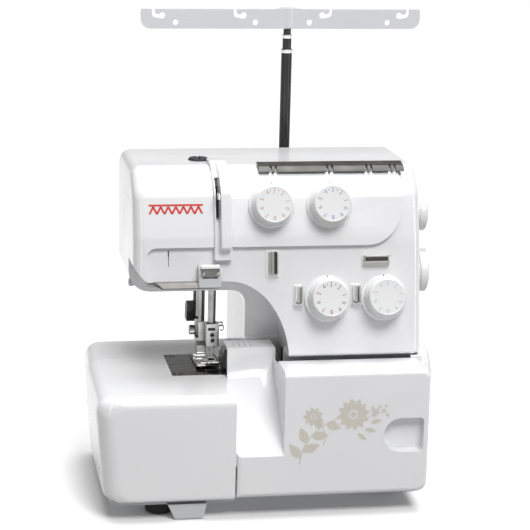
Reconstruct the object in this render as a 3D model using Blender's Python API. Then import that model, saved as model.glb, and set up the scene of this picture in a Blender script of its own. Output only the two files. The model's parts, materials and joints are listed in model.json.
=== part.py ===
"""Serger overlock machine with its spool stand and telescopic thread guide.

Drawing coordinates are millimetres: X to the right from the left edge of the bed, Y to the rear from the
front face, Z up from the table. place() moves them so that the origin is the centre of the footprint.
"""

import math

import bmesh
import bpy
from mathutils import Matrix, Vector

MM = 0.001
CHORD_ERROR = 0.2
GAP = 0.3
LEAST_RADIUS = 0.2

# Overall footprint: bed's left edge to the last spool pin, front face to the stand's rear edge
WIDTH = 324.5
DEPTH = 270.0

# Base and bed
PAN_TOP = 16.7
BASE_LOW = 17.0
BED_TOP = 110.0
BED_RIGHT = 118.5
REAR_TAPER = 3.6
BED_REAR = 188.0
BED_DRAFT = 7.0
BED_CORNER = -1.052  # sharp corner of the leaning left wall; its rounded edge then reaches X = 0
SEAM_Y = 119.5
WALL = 3.0
FOOT_HEIGHT = 12.0
FOOT_SPOTS = (("foot_front_left", 56.6, 30), ("foot_front_right", 262, 66),
              ("foot_rear_left", 30, 166), ("foot_rear_right", 262, 166))

# Head
HEAD_LEFT = 35.0
HEAD_RIGHT = 288.0
HEAD_LOW = 132.0
HEAD_TOP = 293.0
HEAD_REAR = 190.0
PARTING_Y = 139.0
ARM_LOW_FRONT = 199.0
ARM_LOW_REAR = 180.0
RECESS_Y = 91.0
ARCH_HALF_WIDTH = 53.0
PILLAR_LEFT = 139.3
PANEL_LOW = 229.0
PANEL_RIGHT = 272.0
PANEL_PROUD = 4.0
STRIP_RIGHT = 46.0
HEAD_EASE = (10.0, 8.0)
LOWER_LEAN = 9.0
HEAD_PROFILE = ((38, HEAD_LOW, 3), (53.8, 232, 60), (66.8, 274, 24), (87, HEAD_TOP, 22),
                (HEAD_REAR, HEAD_TOP, 16), (HEAD_REAR, BASE_LOW, 6), (PARTING_Y, BASE_LOW, 0),
                (PARTING_Y, HEAD_LOW, 0))

# Looper cover: hinge line, waste chute and the shelf beside the presser foot
COVER_TOP = 130.0
COVER_DEPTH = 36.0
COVER_LEFT = BED_RIGHT + 0.6
COVER_HINGE = (8.0, 26.0)
HINGE_BORE = 2.8
KNUCKLE_XS = (176.0, 262.0)
CHUTE_RIGHT = 159.8
SHELF_Y = (59.5, 84.0)
SHELF_TOP = 136.0
GUARD_TOP = 137.6
GUARD_Y = 88.0

# Needle area: X and Y of the bars, needle plate edges
NEEDLE_BAR = (111.3, 103.0)
NEEDLE_BAR_RADIUS = 3.6
PRESSER_BAR = (103.0, 117.0)
PRESSER_BAR_RADIUS = 4.0
FOOT_PIN = (111.5, 115.0)
PLATE_X = (72.0, 118.6)
PLATE_Y = (66.0, 131.0)
PLATE_SCREWS = ((77, 71), (77, 126.5))
NEEDLE_XS = (110.0, 113.0)
LOOPER_OPENING_LEFT = 104.0
LEVER_X = (106.5, 107.9)
PRESSURE_DIAL = (99.0, 117.0)

# Shafts: Y and Z
MAIN_SHAFT = (115.0, 93.6)
MOTOR_SHAFT = (96.0, 46.0)
SHAFT_START = 142.0
MOTOR_SHAFT_START = 230.0
BELT_X = (262.0, 272.0)
SHAFT_PULLEY_RADIUS = 23.0
MOTOR_PULLEY_RADIUS = 8.0

# Dials: name, X, Z of the axis where it leaves the panel, lean of the axis
TENSION_DIALS = (("tension_dial_left_needle", 154.4, 263.0),
                 ("tension_dial_right_needle", 205.2, 263.0),
                 ("tension_dial_upper_looper", 203.5, 182.6),
                 ("tension_dial_lower_looper", 253.4, 182.6))
DIAL_LEAN = 15.0
DIAL_CAP_RADIUS = 16.5
DIAL_RING_RADIUS = 20.3

# Antenna and spool stand
POLE = (191.8, 198.0)
POLE_TOPS = (381.2, 394.7)
POLE_RADII = (5.0, 4.1, 3.5)
BAR_Z = (400.5, 419.0)
BAR_X = (55.1, 315.4)
SPOOL_XS = (86.0, 155.0, 236.0, 305.0)
SPOOL_Y = 240.0
STAND_Z = (13.0, 19.0)


def place(x, y, z):
    """Metres in the model from drawing millimetres."""
    return Vector(((x - WIDTH / 2) * MM, (y - DEPTH / 2) * MM, z * MM))


def spot(axis, u, v, w):
    """Model point from outline coordinates u, v and distance w along the axis."""
    if axis == "X":
        return place(w, u, v)
    if axis == "Y":
        return place(u, w, v)
    return place(u, v, w)


def arc_steps(corners):
    """Number of chords in each corner's arc, from its radius and how far it turns."""
    counts = []
    for i, (u, v, radius) in enumerate(corners):
        here = Vector((u, v))
        back = Vector(corners[i - 1][:2]) - here
        ahead = Vector(corners[(i + 1) % len(corners)][:2]) - here
        chord = 2 * math.acos(max(1 - CHORD_ERROR / max(radius, CHORD_ERROR), 0.7))
        counts.append(max(1, math.ceil((math.pi - back.angle(ahead)) / chord - 0.01)))
    return counts


def rounded(corners, counts=None):
    """Closed outline from (u, v, radius) corners. A radius too large for its edges is reduced to fit."""
    outline = []
    counts = counts or arc_steps(corners)
    for i, (u, v, radius) in enumerate(corners):
        here = Vector((u, v))
        if radius <= 0:
            outline.append(here)
            continue
        back = Vector(corners[i - 1][:2]) - here
        ahead = Vector(corners[(i + 1) % len(corners)][:2]) - here
        half = back.angle(ahead) / 2
        reach = min(radius / math.tan(half), 0.48 * back.length, 0.48 * ahead.length)
        radius = reach * math.tan(half)
        centre = here + (back.normalized() + ahead.normalized()).normalized() * radius / math.sin(half)
        first = here + back.normalized() * reach - centre
        last = here + ahead.normalized() * reach - centre
        start = math.atan2(first.y, first.x)
        turn = (math.atan2(last.y, last.x) - start + math.pi) % (2 * math.pi) - math.pi
        for step in range(counts[i] + 1):
            angle = start + turn * step / counts[i]
            outline.append(centre + radius * Vector((math.cos(angle), math.sin(angle))))
    return outline


def box_outline(low_u, high_u, low_v, high_v, radius=0.0):
    return [(low_u, low_v, radius), (high_u, low_v, radius),
            (high_u, high_v, radius), (low_u, high_v, radius)]


def circle(u, v, radius, steps=20):
    turns = (2 * math.pi * step / steps for step in range(steps))
    return [Vector((u + radius * math.cos(turn), v + radius * math.sin(turn))) for turn in turns]


def inset(outline, distance):
    """Outline moved inwards by the distance."""
    area = sum(a.x * b.y - b.x * a.y for a, b in zip(outline, outline[1:] + outline[:1]))
    side = 1 if area > 0 else -1
    moved = []
    for i, here in enumerate(outline):
        into = (here - outline[i - 1]).normalized()
        out = (outline[(i + 1) % len(outline)] - here).normalized()
        first = side * Vector((-into.y, into.x))
        second = side * Vector((-out.y, out.x))
        moved.append(here + (first + second) * distance / (1 + first.dot(second)))
    return moved


def inset_corners(corners, distance):
    """Rounded corner list moved inwards: outer corners get tighter, inner corners wider."""
    moved = inset([Vector(corner[:2]) for corner in corners], distance)
    points = [Vector(corner[:2]) for corner in corners]
    area = sum(a.x * b.y - b.x * a.y for a, b in zip(points, points[1:] + points[:1]))
    result = []
    for i, (point, corner) in enumerate(zip(moved, corners)):
        turn = (points[i] - points[i - 1]).cross(points[(i + 1) % len(points)] - points[i])
        change = -distance if turn * area > 0 else distance
        radius = max(corner[2] + change, LEAST_RADIUS) if corner[2] > 0 else 0
        result.append((point.x, point.y, radius))
    return result


def outline_at(shape, distance):
    """Outline of a corner list or of ready points, moved inwards by the distance."""
    if isinstance(shape[0], tuple):
        return rounded(inset_corners(shape, distance), arc_steps(shape))
    return inset(shape, distance)


def make_object(name, mesh_builder):
    """Object from a bmesh, its faces turned outwards."""
    bmesh.ops.recalc_face_normals(mesh_builder, faces=mesh_builder.faces)
    mesh = bpy.data.meshes.new(name)
    mesh_builder.to_mesh(mesh)
    mesh_builder.free()
    obj = bpy.data.objects.new(name, mesh)
    bpy.context.scene.collection.objects.link(obj)
    return obj


def skin(name, rings, looped=False):
    """Closed body through rings of points; a ring of one point is a tip."""
    builder = bmesh.new()
    rows = [[builder.verts.new(point) for point in ring] for ring in rings]
    pairs = list(zip(rows, rows[1:]))
    if looped:
        pairs.append((rows[-1], rows[0]))
    for low, high in pairs:
        for i in range(max(len(low), len(high))):
            corners = [low[i % len(low)], low[(i + 1) % len(low)],
                       high[(i + 1) % len(high)], high[i % len(high)]]
            builder.faces.new(list(dict.fromkeys(corners)))
    if not looped:
        for row in (rows[0], rows[-1]):
            if len(row) > 2:
                builder.faces.new(row)
    return make_object(name, builder)


def prism(name, outline, axis, low, high, ease=(0.0, 0.0), ease_steps=2):
    """Outline pushed along the axis, with the two end edges eased by the given radii."""
    levels = []
    quarter = [math.pi / 2 * step / ease_steps for step in range(ease_steps + 1)]
    if ease[0] > 0:
        levels += [(ease[0] * (1 - math.sin(a)), low + ease[0] * (1 - math.cos(a))) for a in quarter]
    else:
        levels.append((0.0, low))
    if ease[1] > 0:
        levels += [(ease[1] * (1 - math.sin(a)), high - ease[1] * (1 - math.cos(a))) for a in quarter[::-1]]
    else:
        levels.append((0.0, high))
    rings = [[spot(axis, p.x, p.y, w) for p in outline_at(outline, d)] for d, w in levels]
    return skin(name, rings)


def block(name, x, y, z, ease=0.0):
    """Box between the two values of each pair, with eased vertical edges."""
    return prism(name, box_outline(x[0], x[1], y[0], y[1], ease), "Z", z[0], z[1])


def turned(name, base, direction, profile, steps=24, looped=False):
    """Body of revolution: (radius, height) pairs about the direction from the base point."""
    spin = Vector(direction).to_track_quat("Z", "Y").to_matrix()
    rings = []
    for radius, height in profile:
        if radius <= 0:
            rings.append([base + spin @ Vector((0, 0, height * MM))])
            continue
        rings.append([base + spin @ Vector((p.x * MM, p.y * MM, height * MM))
                      for p in circle(0, 0, radius, steps)])
    return skin(name, rings, looped)


def rod(name, start, end, radius, steps=14):
    """Plain round bar between two model points."""
    along = end - start
    return turned(name, start, along, ((radius, 0), (radius, along.length / MM)), steps)


def bent_rod(name, points, radius, steps=8):
    """Round wire through model points."""
    rings = []
    for i, here in enumerate(points):
        before = points[max(i - 1, 0)]
        after = points[min(i + 1, len(points) - 1)]
        frame = (after - before).to_track_quat("Z", "Y").to_matrix()
        rings.append([here + frame @ Vector((p.x * MM, p.y * MM, 0)) for p in circle(0, 0, radius, steps)])
    return skin(name, rings)


def hull(name, points):
    """Convex body round the points."""
    builder = bmesh.new()
    for point in points:
        builder.verts.new(point)
    result = bmesh.ops.convex_hull(builder, input=builder.verts)
    spare = {item for key in ("geom_interior", "geom_unused") for item in result[key]}
    bmesh.ops.delete(builder, geom=[v for v in spare if isinstance(v, bmesh.types.BMVert)], context="VERTS")
    return make_object(name, builder)


def combine(target, tool, operation):
    """Boolean of the two bodies, kept as plain mesh in the target; the tool is used up."""
    modifier = target.modifiers.new(operation, "BOOLEAN")
    modifier.operation = operation
    modifier.solver = "EXACT"
    modifier.object = tool
    graph = bpy.context.evaluated_depsgraph_get()
    mesh = bpy.data.meshes.new_from_object(target.evaluated_get(graph))
    target.modifiers.clear()
    target.data = mesh
    bpy.data.objects.remove(tool)
    return target


def cut(target, *tools):
    for tool in tools:
        combine(target, tool, "DIFFERENCE")
    return target


def fuse(target, *tools):
    for tool in tools:
        combine(target, tool, "UNION")
    return target


def keep(target, tool):
    return combine(target, tool, "INTERSECT")


def duplicate(obj, name):
    copy = bpy.data.objects.new(name, obj.data.copy())
    bpy.context.scene.collection.objects.link(copy)
    return copy


def tilt(obj, degrees, y, z):
    """Leans the body back about the X line through (y, z)."""
    pivot = place(0, y, z)
    turn = Matrix.Rotation(math.radians(-degrees), 4, "X")
    obj.data.transform(Matrix.Translation(pivot) @ turn @ Matrix.Translation(-pivot))
    return obj


def finish(name, colour, roughness, metallic=0.0):
    material = bpy.data.materials.new(name)
    material.use_nodes = True
    shader = material.node_tree.nodes["Principled BSDF"]
    shader.inputs["Base Color"].default_value = (*colour, 1.0)
    shader.inputs["Roughness"].default_value = roughness
    shader.inputs["Metallic"].default_value = metallic
    material.diffuse_color = (*colour, 1.0)
    return material


WHITE = finish("gloss_white", (0.86, 0.86, 0.87), 0.28)
DIAL_WHITE = finish("dial_white", (0.84, 0.84, 0.84), 0.35)
LIGHT_GREY = finish("light_grey", (0.66, 0.67, 0.69), 0.4)
DARK_PLASTIC = finish("dark_plastic", (0.03, 0.03, 0.035), 0.45)
RUBBER = finish("rubber", (0.02, 0.02, 0.02), 0.8)
CASTING = finish("casting", (0.45, 0.46, 0.47), 0.5, 0.9)
SATIN_STEEL = finish("satin_steel", (0.42, 0.43, 0.44), 0.34, 1.0)
BRIGHT_STEEL = finish("bright_steel", (0.74, 0.75, 0.76), 0.16, 1.0)
DARK_CHROME = finish("dark_chrome", (0.3, 0.31, 0.33), 0.18, 1.0)
LAMP_CLEAR = finish("lamp_clear", (0.9, 0.9, 0.86), 0.15)


def piece(obj, material, pivot=None):
    """Gives the body its material and shading, and its origin on the pivot point."""
    mesh = obj.data
    mesh.materials.clear()
    mesh.materials.append(material)
    for polygon in mesh.polygons:
        polygon.material_index = 0
        polygon.use_smooth = True
    mesh.set_sharp_from_angle(angle=math.radians(32))
    if pivot is not None:
        mesh.transform(Matrix.Translation(-pivot))
        obj.location = pivot
    return obj


def front_face_y(z):
    """Y of the lower face of the head, or of the surface under the raised panel, at height z."""
    if z < 232:
        return 38 + (z - HEAD_LOW) * 15.8 / 100
    return 53.8 + (z - 232) * 13.0 / 42


def arch_outline(margin=0.0):
    """Open space below the arm as seen from the front, its border drawn in by the margin."""
    arc = []
    for step in range(13):
        angle = math.pi / 2 * step / 12
        arc.append(Vector((117 + (ARCH_HALF_WIDTH + margin) * math.cos(angle),
                           128 + (ARM_LOW_FRONT + margin - 128) * math.sin(angle))))
    left = rounded(((46 - margin, ARM_LOW_FRONT + margin, 0), (HEAD_LEFT - margin, 212, 0),
                    (0, 212, 0), (0, -20, 0)))
    return [Vector((117 + ARCH_HALF_WIDTH + margin, -20))] + arc + left


def window_outline(margin=0.0):
    """Open space between the bed and the rear of the arm as seen from the front."""
    corner = [Vector((54 - (19 + margin) * math.sin(math.pi / 2 * step / 5),
                      ARM_LOW_REAR + 19 - (19 - margin) * math.cos(math.pi / 2 * step / 5)))
              for step in range(6)]
    right = rounded(((0, -20, 0), (PILLAR_LEFT + margin, -20, 0),
                     (PILLAR_LEFT + margin, ARM_LOW_REAR + margin, 12 + margin),
                     (60, ARM_LOW_REAR + margin, 0)))
    return right + corner + [Vector((0, ARM_LOW_REAR + 19))]


def head_solid(name, wall):
    """Head and rear column, drawn in by the wall thickness. Only the outer one has the panel."""
    ease = (HEAD_EASE[0] - wall, HEAD_EASE[1] - wall)
    profile = inset_corners(HEAD_PROFILE, wall)
    body = prism(name, profile, "X", HEAD_LEFT + wall, HEAD_RIGHT - wall, ease, 4)
    if wall == 0:
        fuse(body, raised_panel())
    front = prism("arch_space", arch_outline(wall), "Y", 0, RECESS_Y + wall)
    through = prism("window_space", window_outline(wall), "Y", RECESS_Y - 20, 220)
    return cut(body, front, through)


def panel_front():
    """(Y, Z, radius) corners of the panel's surface from its lower edge to the crest of the head."""
    return ((front_face_y(PANEL_LOW) - PANEL_PROUD, PANEL_LOW, 0), (53.8 - PANEL_PROUD, 236, 40),
            (65.4 - PANEL_PROUD, 276, 22), (85, HEAD_TOP + 1.2, 26))


def raised_panel():
    """Raised panel with a round right end that carries the upper dials, and its strip down the left end."""
    foot = (front_face_y(ARM_LOW_FRONT) - PANEL_PROUD, ARM_LOW_FRONT, 3)
    side = (foot,) + panel_front() + ((112, HEAD_TOP - 1.5, 0), (112, ARM_LOW_FRONT, 0))
    body = prism("panel", side, "X", HEAD_LEFT, PANEL_RIGHT + 5, (HEAD_EASE[0], 0.0), 4)
    end = []
    for step in range(15):
        angle = math.radians(-90 + 110 * step / 14)
        end.append(Vector((PANEL_RIGHT - 32 + 32 * math.cos(angle), PANEL_LOW + 42 + 42 * math.sin(angle))))
    strip = rounded(((20, 190, 0), (STRIP_RIGHT, 190, 0), (STRIP_RIGHT, PANEL_LOW, 8), (80, PANEL_LOW, 0),
                     (80, 310, 0), (20, 310, 0)))
    shape = strip[:-2] + end + [Vector((PANEL_RIGHT - 3, 310)), Vector((20, 310))]
    return keep(body, prism("panel_shape", shape, "Y", 0, 130))


def dial_axis(x, z):
    """Where a tension dial's axis leaves the head, and its direction."""
    y = front_face_y(z) - (PANEL_PROUD if z > PANEL_LOW else 0)
    turn = math.radians(DIAL_LEAN)
    return place(x, y, z), Vector((0, -math.cos(turn), math.sin(turn)))


def dial_ring(x, z):
    """Fixed ring that a tension dial turns on."""
    radius = DIAL_RING_RADIUS
    profile = ((radius, -5), (radius, 3.2), (radius - 1.2, 4.4), (radius - 3.0, 4.8))
    return turned("ring", *dial_axis(x, z), profile, 24)


def build_head():
    shell = cut(head_solid("head", 0.0), head_solid("cavity", WALL))
    column = (PILLAR_LEFT + 4, HEAD_RIGHT - 4)
    rear = keep(duplicate(shell, "head_rear_cover"),
                block("rear_half", (0, 330), (PARTING_Y + GAP / 2, 230), (BASE_LOW + 0.3, 320)))
    cut(rear,
        block("rear_floor", column, (PARTING_Y - 5, HEAD_REAR - 4), (0, 30)),
        block("rear_front", column, (PARTING_Y - 5, PARTING_Y + 6), (10, HEAD_LOW + 5)),
        block("lifter_opening", (91, 106.5), (PARTING_Y - 5, 152), (170, 200)))
    shell.name = "head_front_cover"
    front = keep(shell, block("front_half", (0, 330), (0, PARTING_Y - GAP / 2), (100, 320)))
    for _, x, z in TENSION_DIALS:
        fuse(front, dial_ring(x, z))
    pressure = turned("pressure_hole", place(*PRESSURE_DIAL, 280), (0, 0, 1), ((9.4, 0), (9.4, 30)), 26)
    cut(front,
        block("column_floor", (176, HEAD_RIGHT - 6), (54, PARTING_Y + 5), (120, 145)),
        block("frame_opening", (146, 180), (97, PARTING_Y + 5), (120, 145)),
        block("bar_opening", (91, 120), (94.6, PARTING_Y + 5), (170, 200)),
        block("lever_slot", (LEVER_X[0] - 0.8, LEVER_X[1] + 0.8), (30, 75), (252, 284)),
        pressure)
    low = BED_TOP + GAP
    skirt_y = (GUARD_Y, PARTING_Y - GAP / 2)
    fuse(front,
         block("skirt", (PILLAR_LEFT, PILLAR_LEFT + WALL), skirt_y, (low, HEAD_LOW + 2)),
         block("looper_guard", (PILLAR_LEFT, 172.5), (GUARD_Y, RECESS_Y + 1), (low, GUARD_TOP)))
    piece(front, WHITE)
    piece(rear, WHITE)


def ease_in(distance, radius):
    """How far a rounded edge of the radius stands back at the distance from its end face."""
    if distance >= radius:
        return 0.0
    return radius - math.sqrt(radius ** 2 - (radius - max(distance, 0.0)) ** 2)


def bed_body(name, ends, rounds, right, wall=0.0):
    """Bed block between the two end values of Y. rounds: plan radius of the front and of the rear corner.

    With a wall it is the room inside, open below and beyond each end that has no rounding.
    """
    low = ends[0] + (wall if rounds[0] else -20 if wall else 0)
    high = ends[1] - (wall if rounds[1] else -20 if wall else 0)
    rings = []
    stations = {low, high}
    for step in range(1, 6):
        reach = 1 - math.cos(math.pi / 2 * step / 5)
        if rounds[0]:
            stations.add(low + (rounds[0] - wall) * reach)
        if rounds[1]:
            stations.add(high - (rounds[1] - wall) * reach)
    for y in sorted(stations):
        left = BED_CORNER + wall + REAR_TAPER * max(0.0, y - SEAM_Y) / (BED_REAR - SEAM_Y)
        top = BED_TOP - wall
        foot = BASE_LOW if wall == 0 else -10
        for radius, distance in ((rounds[0], y - low), (rounds[1], high - y)):
            if radius:
                left += ease_in(distance, radius - wall)
                top -= ease_in(distance, 9.0 - wall)
                foot += ease_in(distance, 5.0 - wall)
        section = ((left + BED_DRAFT, foot, 11 - wall), (right, foot, 0), (right, top, 0),
                   (left, top, 13 - wall))
        rings.append([spot("Y", p.x, p.y, y) for p in rounded(section, (4, 1, 1, 5))])
    return skin(name, rings)


def build_cloth_plate():
    """Left cover of the bed. It swings out to the left on its rear outer edge."""
    body = bed_body("cloth_plate", (0.0, SEAM_Y), (16, 0), BED_RIGHT)
    cut(body, bed_body("room", (0.0, SEAM_Y), (16, 0), BED_RIGHT + 30, WALL),
        block("plate_notch", (PLATE_X[0] - GAP, 300), (PLATE_Y[0] - GAP, 200), (90, 130)))
    piece(body, WHITE, place(0, SEAM_Y, 60))


def build_bed_cover():
    """Fixed rear part of the bed."""
    body = bed_body("bed_cover", (SEAM_Y + GAP, BED_REAR), (0, 14), PILLAR_LEFT - GAP)
    cut(body, bed_body("room", (SEAM_Y + GAP, BED_REAR), (0, 14), BED_RIGHT + 60, WALL),
        block("plate_notch", (PLATE_X[0] - GAP, PLATE_X[1] + GAP), (60, PLATE_Y[1] + GAP), (90, 130)))
    piece(body, WHITE)


def chute_space():
    """Open waste chute in front of the needle plate: sloping floor, slanted right side."""
    corners = ((100, -6, 50.5), (160.3, -6, 50.5), (146.5, 55.5, 108.5), (100, 55.5, 108.5),
               (100, -6, 150), (CHUTE_RIGHT, -6, 150), (CHUTE_RIGHT, SHELF_Y[0], 150),
               (100, SHELF_Y[0], 150), (CHUTE_RIGHT, SHELF_Y[0], 121), (100, SHELF_Y[0], 121),
               (CHUTE_RIGHT, -6, 68))
    return hull("chute", [place(*corner) for corner in corners])


def build_looper_cover():
    """Front cover over the loopers. It slides to the right, then swings down on its two knuckles."""
    shelf_right = CHUTE_RIGHT + 2.2
    skin_y = SHELF_Y[0] + 2.5
    front = ((COVER_LEFT, BASE_LOW + 1.5, 1.5), (HEAD_RIGHT, BASE_LOW + 1.5, 9), (HEAD_RIGHT, COVER_TOP, 8),
             (COVER_LEFT, COVER_TOP, 0))
    body = prism("looper_cover", front, "Y", 0, COVER_DEPTH, (5.0, 0.0), 4)
    side = ((3, 48, 0), (64, 103, 0), (skin_y, 119, 0), (skin_y, SHELF_TOP - 2.5, 0),
            (SHELF_Y[1], SHELF_TOP - 2.5, 0), (SHELF_Y[1], SHELF_TOP, 1), (SHELF_Y[0] - 2, SHELF_TOP, 4),
            (SHELF_Y[0] - 2, COVER_TOP - 4, 0), (20, COVER_TOP - 4, 0), (3, 100, 0))
    fuse(body, prism("shelf", side, "X", COVER_LEFT, shelf_right, (0.0, 1.5)))
    under = ((2.5, -5, 0), (2.5, 46.5, 0), (62, 100.5, 0), (72, 90, 0), (72, -5, 0))
    room = box_outline(shelf_right, HEAD_RIGHT - 2.5, -5, COVER_TOP - 2.5, 5)
    shelf_room = box_outline(skin_y, 100, 60, SHELF_TOP - 2.5)
    cut(body, chute_space(),
        prism("under_room", under, "X", 90, CHUTE_RIGHT + 10),
        prism("right_room", room, "Y", 2.5, 60),
        prism("shelf_room", shelf_room, "X", 100, CHUTE_RIGHT))
    recess = ((247.3, 56.2, 15.3), (282.5, 56.2, 3.5), (282.5, 87, 3.5), (247.3, 87, 15.3))
    fuse(body, prism("pocket", inset_corners(recess, -2.2), "Y", 1.5, 11.5, (0.0, 2.0)))
    cut(body, prism("finger_recess", recess, "Y", -5, 9.3, (0.0, 3.0)))
    y, z = COVER_HINGE
    for x in KNUCKLE_XS:
        fuse(body,
             rod("knuckle", place(x, y, z), place(x + 8, y, z), 5.0, 20),
             block("web", (x, x + 8), (1.5, y), (z - 3, z + 3)))
    cut(body,
        rod("bore", place(150, y, z), place(284, y, z), HINGE_BORE, 20),
        block("swing_room", (100, 300), (COVER_DEPTH - 1, 45), (0, z - 4)))
    piece(body, WHITE, place(200, y, z))


def build_cover_hinge():
    y, z = COVER_HINGE
    start = place(168, y, z)
    piece(rod("cover_hinge_rod", start, place(278, y, z), 2.4, 16), BRIGHT_STEEL, start)


def hinge_lug(x):
    """Ear on the base pan that carries the cover's hinge rod."""
    y, z = COVER_HINGE
    ear = rod("ear", place(x, y, z), place(x + 6, y, z), 4.8, 20)
    fuse(ear, block("arm", (x, x + 6), (y, 24), (z - 0.5, z + 4.5)),
         block("post", (x, x + 6), (19, 24), (PAN_TOP - 2, z + 4.5)))
    return ear


def build_base_pan():
    plan = ((BED_DRAFT + 5, 10, 12), (BED_RIGHT, 10, 0), (BED_RIGHT, 18, 0), (284, 18, 4), (284, 185, 10),
            (BED_DRAFT + 8, 185, 12))
    pan = prism("base_pan", plan, "Z", FOOT_HEIGHT, PAN_TOP, (2.0, 0.0), 2)
    rim = prism("rim", inset_corners(plan, 2.2), "Z", PAN_TOP - 1, PAN_TOP + 5)
    cut(rim, prism("rim_room", inset_corners(plan, 5.2), "Z", 0, 60),
        block("front_gap", (112, 300), (0, 42), (0, 60)),
        block("rear_gap", (-10, 300), (168, 200), (0, 60)))
    front = ((61, FOOT_HEIGHT + 2, 0), (67.5, 1.0, 1), (92, 1.0, 1), (95, FOOT_HEIGHT + 2, 0))
    rest = prism("rest", front, "Y", 5, 16.5)
    fuse(pan, rim, rest, hinge_lug(194), hinge_lug(250))
    for x in (150, 214):
        fuse(pan, block("tongue", (x, x + 28), (180, 191.4), (FOOT_HEIGHT + 1, PAN_TOP - 0.2)))
    y, z = COVER_HINGE
    cut(pan, rod("bore", place(150, y, z), place(284, y, z), HINGE_BORE, 20))
    for _, x, y in FOOT_SPOTS:
        cut(pan, rod("foot_hole", place(x, y, 0), place(x, y, 40), 3.2, 12))
    piece(pan, LIGHT_GREY)


def build_feet():
    top = FOOT_HEIGHT - GAP
    profile = ((0, 0), (10.5, 0), (12.3, 1.5), (12.5, top), (2.9, top), (2.9, PAN_TOP), (0, PAN_TOP))
    for name, x, y in FOOT_SPOTS:
        piece(turned(name, place(x, y, 0), (0, 0, 1), profile, 18), RUBBER)


def build_side_cover():
    """Lower right wall beside the loopers, with the hole for the handwheel's hub."""
    low, high = COVER_DEPTH + 0.6, PARTING_Y - GAP / 2
    inner = HEAD_RIGHT - WALL
    plan = ((HEAD_RIGHT - 10, low, 0), (HEAD_RIGHT, low, 0), (HEAD_RIGHT, high, 0), (inner, high, 0),
            (inner, low + WALL, 0), (HEAD_RIGHT - 10, low + WALL, 0))
    wall = prism("side_cover", plan, "Z", BASE_LOW + 0.3, HEAD_LOW - GAP)
    cut(wall, rod("hub_hole", place(270, *MAIN_SHAFT), place(300, *MAIN_SHAFT), 9, 24),
        block("switch_hole", (270, 300), (60, 73), (57, 77)),
        block("inlet_hole", (270, 300), (56, 77), (27, 49)))
    piece(wall, WHITE)


def bar_bore(spot_xy, radius):
    """Bore in the head's casting that a bar slides in."""
    return rod("bar_bore", place(*spot_xy, 190), place(*spot_xy, 270), radius + 0.06, 26)


def build_frames():
    """Castings inside: bed frame under the needle plate, machine frame in the column and the arm."""
    bed = block("bed_frame", (66, 138.6), (64, 178), (98, 106.6))
    cut(bed, block("mechanism_room", (76, 136), (72, 122), (80, 120)),
        block("rear_room", (80, 126), (138, 168), (80, 120)),
        block("looper_gap", (LOOPER_OPENING_LEFT, 140), (60, 74), (80, 120)))
    for x in (66, 128):
        fuse(bed, block("post", (x, x + 8), (162, 178), (PAN_TOP + GAP, 102)))
    fuse(bed, block("front_post", (66, 74), (64, 72), (PAN_TOP + GAP, 102)))
    for x, y in PLATE_SCREWS:
        cut(bed, rod("screw_hole", place(x, y, 90), place(x, y, 120), 1.7, 12))
    piece(bed, CASTING)
    upright = block("machine_frame", (150, 254), (122, 134), (PAN_TOP + GAP, 284))
    cut(upright, block("lower_room", (162, 242), (100, 150), (30, 82)),
        block("upper_room", (162, 242), (100, 150), (106, 190)))
    for x in (150, 244):
        fuse(upright, block("bearing", (x, x + 10), (104, 126), (84, 104)))
    cut(upright, rod("shaft_bore", place(140, *MAIN_SHAFT), place(270, *MAIN_SHAFT), 5.05, 24))
    fuse(upright,
         block("arm", (60, 152), (96, 133), (210, 224)),
         block("bar_guide", (94, 121), (94, 127), (200, 262)))
    cut(upright,
        block("lever_slot", (LEVER_X[0] - 0.7, LEVER_X[1] + 0.7), (80, 98.5), (236, 270)),
        bar_bore(NEEDLE_BAR, NEEDLE_BAR_RADIUS),
        bar_bore(PRESSER_BAR, PRESSER_BAR_RADIUS))
    piece(upright, CASTING)


def build_needle_plate():
    outline = box_outline(*PLATE_X, *PLATE_Y, 1.5)
    plate = prism("needle_plate", outline, "Z", BED_TOP - 3, BED_TOP, (0.0, 0.5), 1)
    cut(plate,
        block("needle_slot", (108.6, 114.6), (100.5, 105.5), (100, 120)),
        block("feed_slot_left", (98.5, 101.9), (84, 118), (100, 120)),
        block("feed_slot_right", (103.5, 106.9), (84, 118), (100, 120)),
        block("knife_notch", (116.2, 125), (88, 110), (100, 120)),
        block("looper_opening", (LOOPER_OPENING_LEFT, 125), (60, 81), (100, 120)))
    for x, y in PLATE_SCREWS:
        cut(plate, turned("screw_sink", place(x, y, BED_TOP - 1.2), (0, 0, 1), ((4.4, 0), (4.4, 4)), 20))
        head = ((3.7, 0), (3.7, 1.7), (3.0, 2.1))
        fuse(plate, turned("screw", place(x, y, BED_TOP - 1.8), (0, 0, 1), head, 20))
        cut(plate, block("screw_slot", (x - 5, x + 5), (y - 0.45, y + 0.45), (BED_TOP - 0.6, BED_TOP + 4)))
    piece(plate, SATIN_STEEL)


def build_knives():
    side = ((90, 98, 0), (106, 98, 0), (106, 110, 0), (103.5, 111.4, 0), (90, 109.4, 0))
    piece(prism("lower_knife", side, "X", 116.6, 118.6), BRIGHT_STEEL)
    side = ((92, 112.2, 0), (107, 110.4, 0), (107, 121, 2), (92, 121, 2))
    blade = prism("upper_knife", side, "X", 119.0, 121.2)
    fuse(blade,
         block("holder", (120.6, 126), (94, 105), (114, 125), 1.0),
         block("knife_arm", (122, 130), (96, 103), (112.5, 119), 1.0),
         block("knife_drop", (126, 130), (96, 103), (84, 119), 1.0),
         rod("clamp_screw", place(124, 99.5, 121), place(128.4, 99.5, 121), 2.6, 16))
    piece(blade, SATIN_STEEL, place(124, 99.5, 112))


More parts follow.
